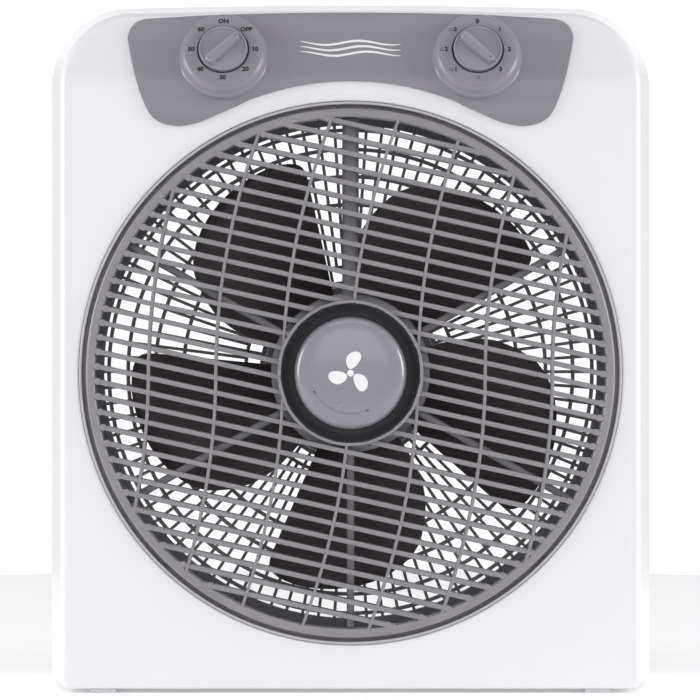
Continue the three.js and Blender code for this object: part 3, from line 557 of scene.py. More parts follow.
def front_shell(context):
    bm = bmesh.new()
    shell_sheet(bm, context.scene.fan_housing.edge_radius, face_y, -1, FRONT_OPENING_R,
                (FRONT_Y + 12 * MM, -10 * MM, COLLAR_REAR))
    walled(bm, -1)
    finished_piece(context, "front_housing", bm, "white", "housing", ["front_shell"], closed=False)


POCKET_LOW, POCKET_HIGH, POCKET_HALF, POCKET_FRONT = 362 * MM, 401 * MM, 57 * MM, 24 * MM
GRIP_LOW, GRIP_HIGH, GRIP_HALF = 364.5 * MM, 389 * MM, 52 * MM
SCREW_POSTS = [(-146 * MM, 380 * MM), (146 * MM, 380 * MM), (-155 * MM, 24 * MM), (155 * MM, 24 * MM)]
POST_BORE_R = 4.4 * MM
POST_FLOOR = 10 * MM
GUARD_LUG_R = 168 * MM


def cut(context, bm, cutter):
    """Takes the cutter's volume out of the piece with a boolean and gives the result as a new bmesh."""
    pieces = []
    for source in (bm, cutter):
        mesh = bpy.data.meshes.new("cutting")
        source.to_mesh(mesh)
        source.free()
        piece = bpy.data.objects.new("cutting", mesh)
        context.scene.collection.objects.link(piece)
        pieces.append(piece)
    difference = pieces[0].modifiers.new("cut", "BOOLEAN")
    difference.operation = "DIFFERENCE"
    difference.solver = "EXACT"
    difference.object = pieces[1]
    context.view_layer.update()
    result = bmesh.new()
    result.from_object(pieces[0], context.evaluated_depsgraph_get())
    for piece in pieces:
        mesh = piece.data
        bpy.data.objects.remove(piece)
        bpy.data.meshes.remove(mesh)
    if not result.faces:
        raise RuntimeError("the cut left nothing of the shell")
    return result


def rear_shell(context):
    bm = bmesh.new()
    shell_sheet(bm, context.scene.fan_housing.edge_radius, lambda z: REAR_Y, 1, REAR_OPENING_R, (REAR_Y - WALL,))
    walled(bm, 1)
    cutter = bmesh.new()
    block(cutter, (-GRIP_HALF, REAR_Y - 8 * MM, GRIP_LOW), (GRIP_HALF, REAR_Y + 8 * MM, GRIP_HIGH),
          bevel=3 * MM, segments=4)
    for x, z in SCREW_POSTS:
        turn(cutter, [(0, REAR_Y - 6 * MM), (POST_BORE_R, REAR_Y - 6 * MM), (POST_BORE_R, REAR_Y + 5 * MM),
                      (0, REAR_Y + 5 * MM)], 28, Matrix.Translation((x, 0, z)))
    bmesh.ops.recalc_face_normals(cutter, faces=cutter.faces)
    bm = cut(context, bm, cutter)
    rounding = 4 * MM
    pocket = bmesh.new()
    block(pocket, (-POCKET_HALF, POCKET_FRONT, POCKET_LOW), (POCKET_HALF, REAR_Y - WALL, POCKET_HIGH),
          bevel=rounding, segments=4)
    mouth = [face for face in pocket.faces if face.calc_center_median().y > REAR_Y - WALL - 0.6 * rounding]
    bmesh.ops.delete(pocket, geom=mouth, context="FACES")
    bmesh.ops.recalc_face_normals(pocket, faces=pocket.faces)
    bmesh.ops.solidify(pocket, geom=pocket.faces[:], thickness=-WALL)
    for x, z in SCREW_POSTS:
        turn(pocket, [(POST_BORE_R, REAR_Y - 1 * MM), (POST_BORE_R, POST_FLOOR), (2.2 * MM, POST_FLOOR),
                      (2.2 * MM, 1 * MM), (6 * MM, 1 * MM), (6 * MM, REAR_Y - 1 * MM)], 28,
             Matrix.Translation((x, 0, z)), closed=True)
    liner = bpy.data.meshes.new("pocket_liner")
    pocket.to_mesh(liner)
    pocket.free()
    bm.from_mesh(liner)
    bpy.data.meshes.remove(liner)
    finished_piece(context, "rear_housing", bm, "white", "housing", ["rear_shell"], closed=False)


def feet(context):
    for name in ("foot_front_left", "foot_front_right", "foot_rear_left", "foot_rear_right"):
        low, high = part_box(name)
        bm = bmesh.new()
        block(bm, (low.x, low.y, low.z), (high.x, high.y, high.z + 0.3 * MM), bevel=0.7 * MM, segments=3)
        middle = (low + high) / 2
        for vert in bm.verts:
            reach = Vector(((vert.co.x - middle.x) / (high.x - low.x), (vert.co.y - middle.y) / (high.y - low.y)))
            if abs(reach.x) > 0.4 and abs(reach.y) > 0.4:
                vert.co.x -= math.copysign(1.6 * MM, reach.x)
        finished_piece(context, name.replace("foot", "rubber_foot"), bm, "rubber", "housing", [name])


# ---------- the control panel and its dials ----------

PANEL_PROUD = 1.7 * MM
ARCH = [(0, 367.8), (12, 367.4), (25, 365.9), (38, 363.4), (50.1, 360)]
LOBE = [(50.1, 360), (60.3, 356.5), (69.3, 352.2), (77.8, 348.5), (86, 344.8), (93.9, 342.1), (101.9, 340.7),
        (108.5, 341.2), (114, 342.9), (118, 345.4), (120.4, 348.1), (122.6, 351.8), (126.4, 361), (129.2, 371),
        (131.4, 380), (133.2, 388.5), (134.4, 394.4)]
PANEL_CORNER = (122.4, 394.6, 12)
PANEL_TOP = [(122.4, 406.6), (90, 408.6), (60, 409.7), (30, 410.3), (0, 410.5)]


def curve_through(points, steps):
    """Points along a smooth curve through the given ones."""
    along = [(i, x) for i, (x, _) in enumerate(points)], [(i, z) for i, (_, z) in enumerate(points)]
    count = (len(points) - 1) * steps
    return [(smooth_table(along[0], i / steps), smooth_table(along[1], i / steps)) for i in range(count + 1)]


def panel_outline():
    x, z, radius = PANEL_CORNER
    corner = [(x + radius * math.cos(math.radians(a)), z + radius * math.sin(math.radians(a)))
              for a in range(9, 90, 9)]
    half = curve_through(ARCH, 3) + curve_through(LOBE, 3)[1:] + corner + curve_through(PANEL_TOP, 3)
    whole = half + [(-a, b) for a, b in reversed(half[1:-1])]
    return in_mm(whole)


def on_slope(joint_name):
    return Matrix.Translation(DIAL_PLACES[joint_name]) @ Matrix.Rotation(-SLOPE, 4, "X")


DISH = [(0, -1.6), (15.5, -1.6), (15.5, -8.7), (15.9, -9.15), (16.6, -9.3), (20.6, -9.3), (21.6, -9.2),
        (22.6, -8.95), (23.5, -8.5), (24.3, -7.8), (24.95, -6.9), (25.5, -5.8), (25.9, -4.6), (26.2, -3.3),
        (26.45, -2.2), (26.9, -1.5), (27.5, -1.1), (27.5, 2), (0, 2)]


BEND_CUTS = 30
BEND_START = 344
BEND_STEP = 2.2


def control_panel(context):
    """The panel is made flat, cut into strips and bent to the housing's face; each dial sits in a raised dish."""
    bm = bmesh.new()
    slab(bm, panel_outline(), -PANEL_PROUD, 0.2 * MM, bevel=0.7 * MM)
    for i in range(BEND_CUTS):
        height = (BEND_START + BEND_STEP * i) * MM
        bmesh.ops.bisect_plane(bm, geom=bm.verts[:] + bm.edges[:] + bm.faces[:], dist=1e-7,
                               plane_co=(0, 0, height), plane_no=(0, 0, 1))
    for vert in bm.verts:
        vert.co.y += face_y(vert.co.z)
    for joint_name in ("timer_turn", "speed_turn"):
        turn(bm, in_mm(DISH), 96, on_slope(joint_name))
    finished_piece(context, "control_panel_moulding", bm, "panel", "housing", ["control_panel"])


def lettering(bm, text, size, place, weight):
    """Flat raised lettering, facing local -Y, as mesh in the given bmesh."""
    curve = bpy.data.curves.new("lettering", "FONT")
    curve.body = text
    curve.size = size
    curve.align_x = "CENTER"
    curve.align_y = "CENTER"
    curve.extrude = 0.06 * MM
    curve.offset = weight
    curve.resolution_u = 3
    writer = bpy.data.objects.new("lettering", curve)
    bpy.context.scene.collection.objects.link(writer)
    bpy.context.view_layer.update()
    mesh = bpy.data.meshes.new_from_object(writer.evaluated_get(bpy.context.evaluated_depsgraph_get()))
    verts, _ = fresh_part(bm, lambda: bm.from_mesh(mesh))
    bmesh.ops.transform(bm, matrix=place @ Matrix.Rotation(math.pi / 2, 4, "X"), verts=verts)
    bpy.data.objects.remove(writer)
    bpy.data.curves.remove(curve)
    bpy.data.meshes.remove(mesh)


def swirl(bm, place, size):
    """Two small hooked strokes that stand for the turning louvre."""
    for side in (0, math.pi):
        for i in range(7):
            first, second = (math.radians(20 + 25 * k) + side for k in (i, i + 1))
            a = Vector((size * math.cos(first), 0, size * math.sin(first)))
            b = Vector((size * math.cos(second), 0, size * math.sin(second)))
            angle = math.atan2(b.z - a.z, b.x - a.x)
            length = (b - a).length / 2 + 0.05 * MM
            stroke = place @ Matrix.Translation((a + b) / 2) @ Matrix.Rotation(-angle, 4, "Y")
            block(bm, (-length, -0.06 * MM, -0.11 * MM), (length, 0.06 * MM, 0.11 * MM), stroke)


LABEL_FACE = -9.33 * MM
LABEL_WEIGHT = 0.17 * MM
DIAL_LABELS = {
    "timer": ["ON", "OFF", "10", "20", "30", "40", "50", "60"],
    "speed": ["0", "1", "2", "3", "", "1", "2", "3"],
}
FIRST_SWIRL = 4


def dial_labels(context):
    """The numbers round each dial, with a swirl by the speeds at which the louvre turns."""
    settings = context.scene.fan_dials
    for dial, labels in DIAL_LABELS.items():
        place = on_slope(dial + "_turn")
        bm = bmesh.new()
        for i, label in enumerate(labels):
            angle = math.radians(90 - 45 * i)
            spot = Vector((settings.label_radius * math.cos(angle), LABEL_FACE,
                           settings.label_radius * math.sin(angle)))
            spot.x += 0.2 * MM * (len(label) - 1) * math.cos(angle)
            if label:
                lettering(bm, label, settings.label_height, place @ Matrix.Translation(spot), LABEL_WEIGHT)
            if dial == "speed" and i >= FIRST_SWIRL:
                beside = spot + Vector((-2.6 * MM if label else 0, 0, 0))
                swirl(bm, place @ Matrix.Translation(beside), 0.95 * MM)
        finished_piece(context, dial + "_dial_labels", bm, "ink", "housing", closed=False)


KNOB_PROFILE = [(0, -10.5), (6, -10.6), (11, -10.75), (13.0, -10.9), (13.3, -11.35), (13.8, -11.55),
                (14.35, -11.4), (14.65, -10.9), (14.7, -10.2), (14.7, -2), (0, -2)]


def capsule(half_length, head_r, tail_r, steps=12):
    """Outline of a bar with round ends, its head up."""
    head = [(head_r * math.cos(math.pi * i / steps), half_length + head_r * math.sin(math.pi * i / steps))
            for i in range(steps + 1)]
    tail = [(-tail_r * math.cos(math.pi * i / steps), -half_length - tail_r * math.sin(math.pi * i / steps))
            for i in range(steps + 1)]
    return head + tail


def dial_knobs(context):
    for dial, points_at in (("timer", 45), ("speed", 135)):
        place = on_slope(dial + "_turn") @ Matrix.Rotation(math.radians(points_at), 4, "Y")
        bm = bmesh.new()
        turn(bm, in_mm(KNOB_PROFILE), 96, place)
        outline = in_mm(capsule(10.3, 2.3, 3.0))
        slab(bm, outline, -14.3 * MM, -10 * MM, bevel=1.1 * MM, segments=4, place=place)
        slab(bm, [(x * 1.16, z * 1.03) for x, z in outline], -11.6 * MM, -10 * MM, bevel=0.9 * MM, segments=3,
             place=place)
        dot = place @ Matrix.Translation((0, 0, 10.4 * MM))
        turn(bm, in_mm([(0, -14.42), (0.36, -14.42), (0.42, -14.2), (0, -14.1)]), 14, dot, material=1)
        finished_piece(context, dial + "_knob_moulding", bm, ["knob", "ink"], dial + "_dial",
                       [dial + "_knob"])


WAVE_STEPS = 36
WAVE_ROWS = 3


def wave_height(x, row):
    """Height of the middle of one flowing line at a place along it."""
    return (384.6 + 3.4 * row) * MM + 1.3 * MM * math.sin(x / (30 * MM) * math.pi * 1.5 + row * 0.4)


def panel_mark(context):
    """Three plain flowing lines, each laid from short strips that thin out towards its ends."""
    bm = bmesh.new()
    lift = PANEL_PROUD + 0.04 * MM
    for row in range(WAVE_ROWS):
        for i in range(WAVE_STEPS):
            left, right = ((-30 + 60 * k / WAVE_STEPS) * MM for k in (i, i + 1))
            thick = 0.62 * MM * math.sin(math.pi * (i + 0.5) / WAVE_STEPS) ** 0.5 + 0.08 * MM
            for vert in bmesh.ops.create_grid(bm, x_segments=1, y_segments=1, size=1)["verts"]:
                x = left if vert.co.x < 0 else right
                z = wave_height(x, row) + math.copysign(thick, vert.co.y)
                vert.co = (x, face_y(z) - lift, z)
    bmesh.ops.remove_doubles(bm, verts=bm.verts, dist=0.01 * MM)
    finished_piece(context, "panel_wave_mark", bm, "white_ink", "housing", closed=False)


# ---------- the louvre, its knob and the frame behind it ----------

LOUVRE_RING_R = 153.5 * MM
HUB_LIP_R = 43.8 * MM
HUB_LIP = [(40, -48), (43.8, -48), (43.8, -59.2), (43.5, -59.8), (42.9, -60), (42.3, -59.8), (41.9, -59.3),
           (41.2, -58), (40.4, -55.6), (40, -52)]
HUB_CUP = [(3.3, -52.5), (33.5, -52.5), (36.5, -53.2), (38.8, -54.6), (40.4, -56.6), (41.6, -59.1), (41.9, -59.3),
           (41, -52), (40, -50), (3.3, -50)]
SLAT_FRONT = LOUVRE_LOW.y + 2.6 * MM
SLAT_REAR = LOUVRE_HIGH.y
RIB_SWEEP = 1.25
SLAT_SHIFT = 2.8 * MM


def reach_at(offset, radius):
    return math.sqrt(max(radius ** 2 - offset ** 2, 0))


def louvre(context):
    settings = context.scene.fan_louvre
    bm = bmesh.new()
    half = settings.slat_thickness / 2
    lean = Matrix.Translation(FAN_CENTRE) @ Matrix.Rotation(settings.slat_lean, 4, "Y")
    hub_r = HUB_LIP_R - 0.6 * MM
    rows = int(LOUVRE_RING_R / settings.slat_pitch) + 1
    for row in range(-rows, rows + 1):
        offset = -(SLAT_SHIFT + settings.slat_pitch * row)
        if abs(offset) > LOUVRE_RING_R - 2 * MM:
            continue
        reach = reach_at(offset, LOUVRE_RING_R + 1.2 * MM)
        spans = [(-reach, reach)]
        if abs(offset) < hub_r:
            inner = reach_at(offset, hub_r)
            spans = [(-reach, -inner), (inner, reach)]
        for low, high in spans:
            block(bm, (low, SLAT_FRONT, offset - half), (high, SLAT_REAR, offset + half), lean, bevel=0.7 * MM,
                  segments=2)
        for side in (-1, 1):
            root = side * (reach_at(offset, LOUVRE_RING_R) - 0.4 * MM)
            block(bm, (min(root, root - side * 2.6 * MM), SLAT_FRONT - 0.1 * MM, offset - half - 0.45 * MM),
                  (max(root, root - side * 2.6 * MM), SLAT_REAR - 1 * MM, offset + half + 0.45 * MM), lean,
                  bevel=0.4 * MM, segments=1)
    for i in range(-3, 4):
        upright_rib(bm, i * settings.rib_pitch, hub_r)
    turn(bm, [(LOUVRE_RING_R, SLAT_FRONT + 0.8 * MM), (LOUVRE_RING_R + 0.7 * MM, SLAT_FRONT + 0.1 * MM),
              (LOUVRE_RING_R + 3.2 * MM, SLAT_FRONT - 0.2 * MM), (LOUVRE_R - 0.9 * MM, SLAT_FRONT + 0.1 * MM),
              (LOUVRE_R - 0.25 * MM, SLAT_FRONT + 0.7 * MM), (LOUVRE_R, SLAT_FRONT + 1.8 * MM),
              (LOUVRE_R, SLAT_REAR), (LOUVRE_RING_R, SLAT_REAR)], RING_STEPS, closed=True)
    turn(bm, in_mm(HUB_LIP), 128, closed=True)
    # The cup inside the hub lip takes the near-black finish, painted shade for the shadowed recess.
    turn(bm, in_mm(HUB_CUP), 128, closed=True, material=1)
    finished_piece(context, "louvre_moulding", bm, ["grille", "painted_shade_cup"], "louvre", ["louvre_grille"])


def bent_bar(bm, low, high, steps):
    """An upright bar with rounded edges, cut into lengths so that it can be bent."""
    bar = bmesh.new()
    block(bar, low, high, bevel=0.45 * MM, segments=2)
    for i in range(1, steps):
        bmesh.ops.bisect_plane(bar, geom=bar.verts[:] + bar.edges[:] + bar.faces[:], dist=1e-7,
                               plane_co=(0, 0, low[2] + (high[2] - low[2]) * i / steps), plane_no=(0, 0, 1))
    mesh = bpy.data.meshes.new("bar")
    bar.to_mesh(mesh)
    bar.free()
    verts, _ = fresh_part(bm, lambda: bm.from_mesh(mesh))
    bpy.data.meshes.remove(mesh)
    return verts


def rib_end(middle, side):
    """How far above or below the centre a rib meets the ring."""
    reach = 0.0
    while math.hypot(middle + side * RIB_SWEEP * reach ** 2, reach) < LOUVRE_RING_R + 1 * MM:
        reach += 0.25 * MM
    return reach


def upright_rib(bm, middle, hub_r):
    """One rib: an S curve that leans right above the centre and left below it, broken at the hub."""
    half = 0.95 * MM
    steps = 24
    ends = [side * rib_end(middle, side) for side in (-1, 1)]
    start = reach_at(middle, hub_r) if abs(middle) < hub_r else 0.0
    for low, high in ([(ends[0], -start), (start, ends[1])] if start else [tuple(ends)]):
        verts = bent_bar(bm, (middle - half, SLAT_FRONT - 0.25 * MM, low), (middle + half, SLAT_REAR, high), steps)
        for vert in verts:
            vert.co.x += math.copysign(RIB_SWEEP, vert.co.z) * vert.co.z ** 2
            vert.co.z += FAN_Z


HUB_KNOB = [(0, -63.0), (6, -62.96), (11, -62.85), (15.5, -62.66), (19.5, -62.37), (23, -61.98), (26, -61.5),
            (28.4, -60.9), (30.2, -60.2), (31.6, -59.35), (32.6, -58.3), (33.3, -57.0), (33.7, -55.5),
            (33.9, -54.0), (33.9, -52.9), (0, -52.9)]


ARROW_R = 24.4 * MM
ARROW_START = 206
ARROW_SPAN = 90
ARROW_STEPS = 22


def knob_arrow(bm):
    """A raised curved arrow with a head at each end."""
    for i in range(ARROW_STEPS):
        first, second = (math.radians(ARROW_START + ARROW_SPAN * k / ARROW_STEPS) for k in (i, i + 1))
        (ax, az), (bx, bz) = polar(ARROW_R, first), polar(ARROW_R, second)
        length = math.hypot(bx - ax, bz - az) / 2 + 0.05 * MM
        place = Matrix.Translation(((ax + bx) / 2, KNOB_FRONT + 1.2 * MM, (az + bz) / 2)) \
            @ Matrix.Rotation(-math.atan2(bz - az, bx - ax), 4, "Y")
        block(bm, (-length, -0.25 * MM, -0.34 * MM), (length, 0.6 * MM, 0.34 * MM), place)
    for angle, way in ((ARROW_START, -1), (ARROW_START + ARROW_SPAN, 1)):
        x, z = polar(ARROW_R, math.radians(angle))
        heading = math.radians(angle + 90 * way)
        place = Matrix.Translation((x, 0, z)) @ Matrix.Rotation(-heading, 4, "Y")
        slab(bm, [(2.8 * MM, 0), (-1.2 * MM, 1.9 * MM), (-1.2 * MM, -1.9 * MM)], KNOB_FRONT + 0.95 * MM,
             KNOB_FRONT + 2 * MM, place=place)


def hub_knob(context):
    bm = bmesh.new()
    turn(bm, in_mm(HUB_KNOB), 128)
    knob_arrow(bm)
    finished_piece(context, "lock_knob_moulding", bm, "knob", "lock_knob", ["hub_knob"])


def propeller_mark(context):
    """A plain three-bladed propeller in the middle of the lock knob."""
    bm = bmesh.new()
    steps = 28
    for i in range(3):
        turned_by = Matrix.Translation(FAN_CENTRE) @ Matrix.Rotation(math.radians(120 * i), 4, "Y")
        outline = []
        for k in range(steps):
            angle = math.tau * k / steps
            wide = 4.2 * MM * (1 + 0.25 * math.sin(angle))
            z = 7.7 * MM + 5.2 * MM * math.sin(angle)
            outline.append((wide * math.cos(angle) + 0.28 * (z - 2 * MM), z))
        slab(bm, outline, KNOB_FRONT - 0.05 * MM, KNOB_FRONT + 0.5 * MM, place=turned_by)
    turn(bm, [(0, KNOB_FRONT - 0.06 * MM), (2 * MM, KNOB_FRONT - 0.06 * MM), (2 * MM, KNOB_FRONT + 0.1 * MM),
              (0, KNOB_FRONT + 0.1 * MM)], steps)
    finished_piece(context, "knob_propeller_mark", bm, "white_ink", "lock_knob")


def front_frame(context):
    bm = bmesh.new()
    low_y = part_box("front_frame")[0].y
    flange, ledge = -46.5 * MM, -43.5 * MM
    turn(bm, [(161.3 * MM, low_y + 0.5 * MM), (161.6 * MM, low_y), (162.4 * MM, low_y), (162.9 * MM, low_y + 0.5 * MM),
              (162.9 * MM, ledge), (153.6 * MM, ledge), (153.6 * MM, flange), (161.2 * MM, flange)], RING_STEPS,
         closed=True)
    turn(bm, in_mm([(9, -46.5), (10, -47), (46.5, -47), (47.6, -46.6), (48, -45.6), (48, -30), (45.5, -30),
                    (45.5, -44.5), (9, -44.5)]), 96, closed=True)
    for angle in (30, 90, 150, 210, 270, 330):
        half = (5 if angle == 90 else 2.3) * MM
        block(bm, (46 * MM, flange, FAN_Z - half), (156 * MM, -38.5 * MM, FAN_Z + half),
              around_fan(math.radians(angle)), bevel=(2.6 if angle == 90 else 1.2) * MM, segments=3)
    for angle in (45, 135, 225, 315):
        block(bm, (160 * MM, flange, FAN_Z - 6 * MM), (175 * MM, ledge, FAN_Z + 6 * MM),
              around_fan(math.radians(angle)), bevel=0.6 * MM, segments=2)
    for angle in range(15, 360, 30):
        block(bm, (40.5 * MM, -47.4 * MM, FAN_Z - 0.8 * MM), (46.2 * MM, -46 * MM, FAN_Z + 0.8 * MM),
              around_fan(math.radians(angle)), bevel=0.3 * MM, segments=1)
    finished_piece(context, "front_frame_moulding", bm, "frame", "housing", ["front_frame"])


def grille_motor_lid(context):
    bm = bmesh.new()
    turn(bm, in_mm([(0, -29.7), (48, -29.7), (48, -28.9), (47.4, -27.9), (46.4, -27.4), (40, -27.2), (39.4, -27.6),
                    (0, -27.6)]), 96)
    finished_piece(context, "grille_motor_lid", bm, "frame", "housing", ["grille_motor_cover"])


# ---------- the fan ----------

BLADE_END = [(38.5, 59.5), (56, 59.5), (70, 58.2), (82, 56.2), (92, 53.7), (101, 50.5), (110, 47), (118, 43),
             (124, 37.8), (128, 33), (131.5, 27.3), (134, 21.5), (135.4, 16.5), (136, 12.5)]
BLADE_START = [(38.5, 0), (120, 0), (127, 0.2), (130, 0.6), (133, 1.8), (135, 4), (135.7, 5.7), (136, 8)]
BLADE_RADII = [38.5, 44, 50, 56, 63, 70, 77, 84, 91, 98, 104, 110, 115, 120, 124, 127.5, 130.2, 132.2, 133.8, 135,
               135.7, 136]
BLADE_FOOT_ANGLE = 102.5


BLADE_FRONT = -11.5
BLADE_DEPTH = 21
BLADE_SWEEP = 60
BLADE_SAG = 3
BLADE_WALL = 1.9 * MM


def blade(bm):
    """One blade as a swept, twisted sheet with its wall made afterwards."""
    across_steps = 20
    radius_steps = len(BLADE_RADII) - 1
    verts, faces = fresh_part(bm, lambda: bmesh.ops.create_grid(bm, x_segments=radius_steps,
                                                                y_segments=across_steps, size=0.5))
    for vert in verts:
        radius = BLADE_RADII[round((vert.co.x + 0.5) * radius_steps)]
        across = vert.co.y + 0.5
        begin, end = smooth_table(BLADE_START, radius), smooth_table(BLADE_END, radius)
        degrees = begin + across * (end - begin)
        sag = BLADE_SAG * math.sin(math.pi * across)
        x, z = polar(radius * MM, math.radians(degrees))
        vert.co = (x, (BLADE_FRONT + BLADE_DEPTH * (1 - degrees / BLADE_SWEEP) - sag) * MM, z)
    bmesh.ops.recalc_face_normals(bm, faces=faces)
    bmesh.ops.solidify(bm, geom=faces, thickness=BLADE_WALL)


def fan(context):
    settings = context.scene.fan_blades
    bm = bmesh.new()
    for i in range(settings.blades):
        turned_by = around_fan(math.radians(BLADE_FOOT_ANGLE) + math.tau * i / settings.blades)
        verts, _ = fresh_part(bm, lambda: blade(bm))
        bmesh.ops.transform(bm, matrix=turned_by, verts=verts)
    turn(bm, in_mm([(4.3, -14), (36, -14), (38.4, -13.2), (39.7, -11.4), (40, -9), (40, 12), (37.5, 12),
                    (37.5, -11.5), (9, -11.5), (9, 8), (4.3, 8)]), 96, closed=True)
    for i in range(12):
        block(bm, (9 * MM, -11.6 * MM, FAN_Z - 0.8 * MM), (37.8 * MM, 2 * MM, FAN_Z + 0.8 * MM),
              around_fan(math.tau * i / 12))
    finished_piece(context, "fan_moulding", bm, "blade", "fan", ["fan_blades"], smooth=40)


def fan_nut(context):
    bm = bmesh.new()
    turn(bm, in_mm([(0, -25), (7.2, -25), (8.4, -24.4), (10.4, -22.6), (11.3, -21), (12, -14.3), (4.3, -14.3),
                    (4.3, -20.3), (0, -20.3)]), 48)
    for i in range(16):
        block(bm, (10 * MM, -21 * MM, FAN_Z - 0.7 * MM), (12.2 * MM, -14.6 * MM, FAN_Z + 0.7 * MM),
              around_fan(math.tau * i / 16), bevel=0.3 * MM, segments=1)
    finished_piece(context, "fan_nut_moulding", bm, "dark", "fan", ["fan_nut"])


# ---------- the rear guard ----------

GUARD_PLATE_R = 58 * MM
GUARD_EDGE_R = 156.5 * MM
GUARD_EDGE_Y = 50.7 * MM
GUARD_RISE = 10.4 * MM
GUARD_REAR = REAR_Y - 2.8 * MM
GUARD_RINGS = [66.9, 106.4, 124.2, 141.4, 153.5]


def dome(verts):
    """Inside its edge the guard rises towards the middle."""
    for vert in verts:
        radius = math.hypot(vert.co.x, vert.co.z - FAN_Z)
        share = (GUARD_EDGE_R - radius) / (GUARD_EDGE_R - GUARD_PLATE_R)
        vert.co.y += min(max(share, 0), 1) * GUARD_RISE


def guard_rib(bm, inner, angle):
    verts = block(bm, (inner, GUARD_EDGE_Y + 0.2 * MM, FAN_Z - 1.0 * MM),
                  (GUARD_EDGE_R + 1 * MM, GUARD_REAR - 0.2 * MM, FAN_Z + 1.0 * MM))
    bmesh.ops.transform(bm, matrix=around_fan(angle), verts=verts)


def rear_guard(context):
    settings = context.scene.fan_blades
    bm = bmesh.new()
    for i in range(settings.guard_ribs):
        inner = (57 if i % 2 else GUARD_RINGS[0]) * MM
        guard_rib(bm, inner, math.tau * i / settings.guard_ribs)
    for radius in GUARD_RINGS:
        r, w = radius * MM, 1.15 * MM
        turn(bm, [(r - w, GUARD_EDGE_Y + 0.4 * MM), (r - w, GUARD_REAR - 0.4 * MM), (r - 0.4 * w, GUARD_REAR),
                  (r + 0.4 * w, GUARD_REAR), (r + w, GUARD_REAR - 0.4 * MM), (r + w, GUARD_EDGE_Y + 0.4 * MM),
                  (r + 0.4 * w, GUARD_EDGE_Y), (r - 0.4 * w, GUARD_EDGE_Y)], RING_STEPS, closed=True)
    turn(bm, [(r * MM, y + GUARD_REAR) for r, y in
              [(7, -3.3 * MM), (58, -3.3 * MM), (58, -0.8 * MM), (57.2, 0), (52, 0), (51.4, -0.5 * MM),
               (49.6, -0.5 * MM), (49, 0), (16, 0), (15, -0.8 * MM), (7, -0.8 * MM)]], 128, closed=True)
    dome(bm.verts)
    turn(bm, [(GUARD_EDGE_R, GUARD_EDGE_Y), (166 * MM, GUARD_EDGE_Y), (166 * MM, GUARD_REAR),
              (157.3 * MM, GUARD_REAR), (GUARD_EDGE_R, GUARD_REAR - 0.6 * MM)], RING_STEPS, closed=True)
    for angle in (45, 135, 225, 315):
        x, z = polar(GUARD_LUG_R, math.radians(angle))
        turn(bm, [(2.2 * MM, 44 * MM), (4.5 * MM, 44 * MM), (5 * MM, 44.5 * MM), (5 * MM, GUARD_REAR),
                  (2.2 * MM, GUARD_REAR)], 24, Matrix.Translation((x, 0, z)), closed=True)
    finished_piece(context, "rear_guard_moulding", bm, "guard", "housing", ["rear_guard"])


def motor_cover(context):
    bm = bmesh.new()
    rear = GUARD_EDGE_Y + GUARD_RISE - 0.3 * MM
    outside = in_mm([(14, 14.2), (48, 14.2), (51, 14.8), (53.2, 16.6), (54, 19.4)])
    inside = in_mm([(52.2, 19.6), (50.5, 16.8), (48, 16), (14, 16)])
    turn(bm, outside + [(54 * MM, rear), (52.2 * MM, rear)] + inside, 96, closed=True)
    finished_piece(context, "motor_cover_moulding", bm, "guard", "housing", ["motor_cover"])


def cord_gland(context):
    low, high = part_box("cord_gland")
    x, z = (low.x + high.x) / 2, (low.z + high.z) / 2
    bm = bmesh.new()
    turn(bm, [(r * MM, y) for r, y in
              [(3.6, low.y), (6, low.y), (7, low.y + 3 * MM), (7, REAR_Y), (9.5, REAR_Y + 0.3 * MM),
               (9.5, REAR_Y + 1.6 * MM), (8.6, REAR_Y + 2.4 * MM), (6.4, REAR_Y + 2.8 * MM),
               (5.8, high.y - 0.5 * MM), (5.2, high.y), (4, high.y), (3.6, high.y - 0.5 * MM)]], 48,
         Matrix.Translation((x, 0, z)), closed=True)
    finished_piece(context, "cord_gland_moulding", bm, "dark", "housing", ["cord_gland"])


# ---------- studio ----------

CAMERA_DISTANCE = 1.8
VIEW_CENTRE = Vector((-0.0003, FRONT_Y, 0.2064))
BACKDROP_BRIGHTNESS = 1.05
FLOOR_RADIUS = 0.95
FLOOR_GLOW = 0.17
FAN_MIDDLE = (0, 0, 0.2)
# Name, place, size, the setting that holds its power, and the point it faces.
LIGHTS = [
    ("left_light", (-1.3, -0.35, 0.45), (0.42, 0.7), "side_power", FAN_MIDDLE),
    ("right_light", (1.3, -0.35, 0.45), (0.42, 0.7), "side_power", FAN_MIDDLE),
    ("top_light", (0, -0.62, 1.8), (1.5, 1.1), "top_power", (0, -0.62, 0)),
    ("front_light", (0, -2.6, 0.9), (1.6, 1.2), "front_power", FAN_MIDDLE),
    ("rear_light", (0, 1.5, 1.1), (1.8, 1.0), "top_power", FAN_MIDDLE),
]


def surroundings(scene):
    """A white backdrop for the camera, and softer light from all round for the surfaces."""
    world = bpy.data.worlds.new("studio_world")
    scene.world = world
    world.use_nodes = True
    nodes, links = world.node_tree.nodes, world.node_tree.links
    nodes.clear()
    output = nodes.new("ShaderNodeOutputWorld")
    seen, lit = nodes.new("ShaderNodeBackground"), nodes.new("ShaderNodeBackground")
    seen.inputs["Strength"].default_value = BACKDROP_BRIGHTNESS
    seen.inputs["Color"].default_value = (1, 1, 1, 1)
    lit.inputs["Color"].default_value = (0.98, 0.985, 1, 1)
    lit.inputs["Strength"].default_value = scene.fan_studio.ambient
    chosen = nodes.new("ShaderNodeMixShader")
    links.new(nodes.new("ShaderNodeLightPath").outputs["Is Camera Ray"], chosen.inputs["Fac"])
    links.new(lit.outputs["Background"], chosen.inputs[1])
    links.new(seen.outputs["Background"], chosen.inputs[2])
    links.new(chosen.outputs["Shader"], output.inputs["Surface"])


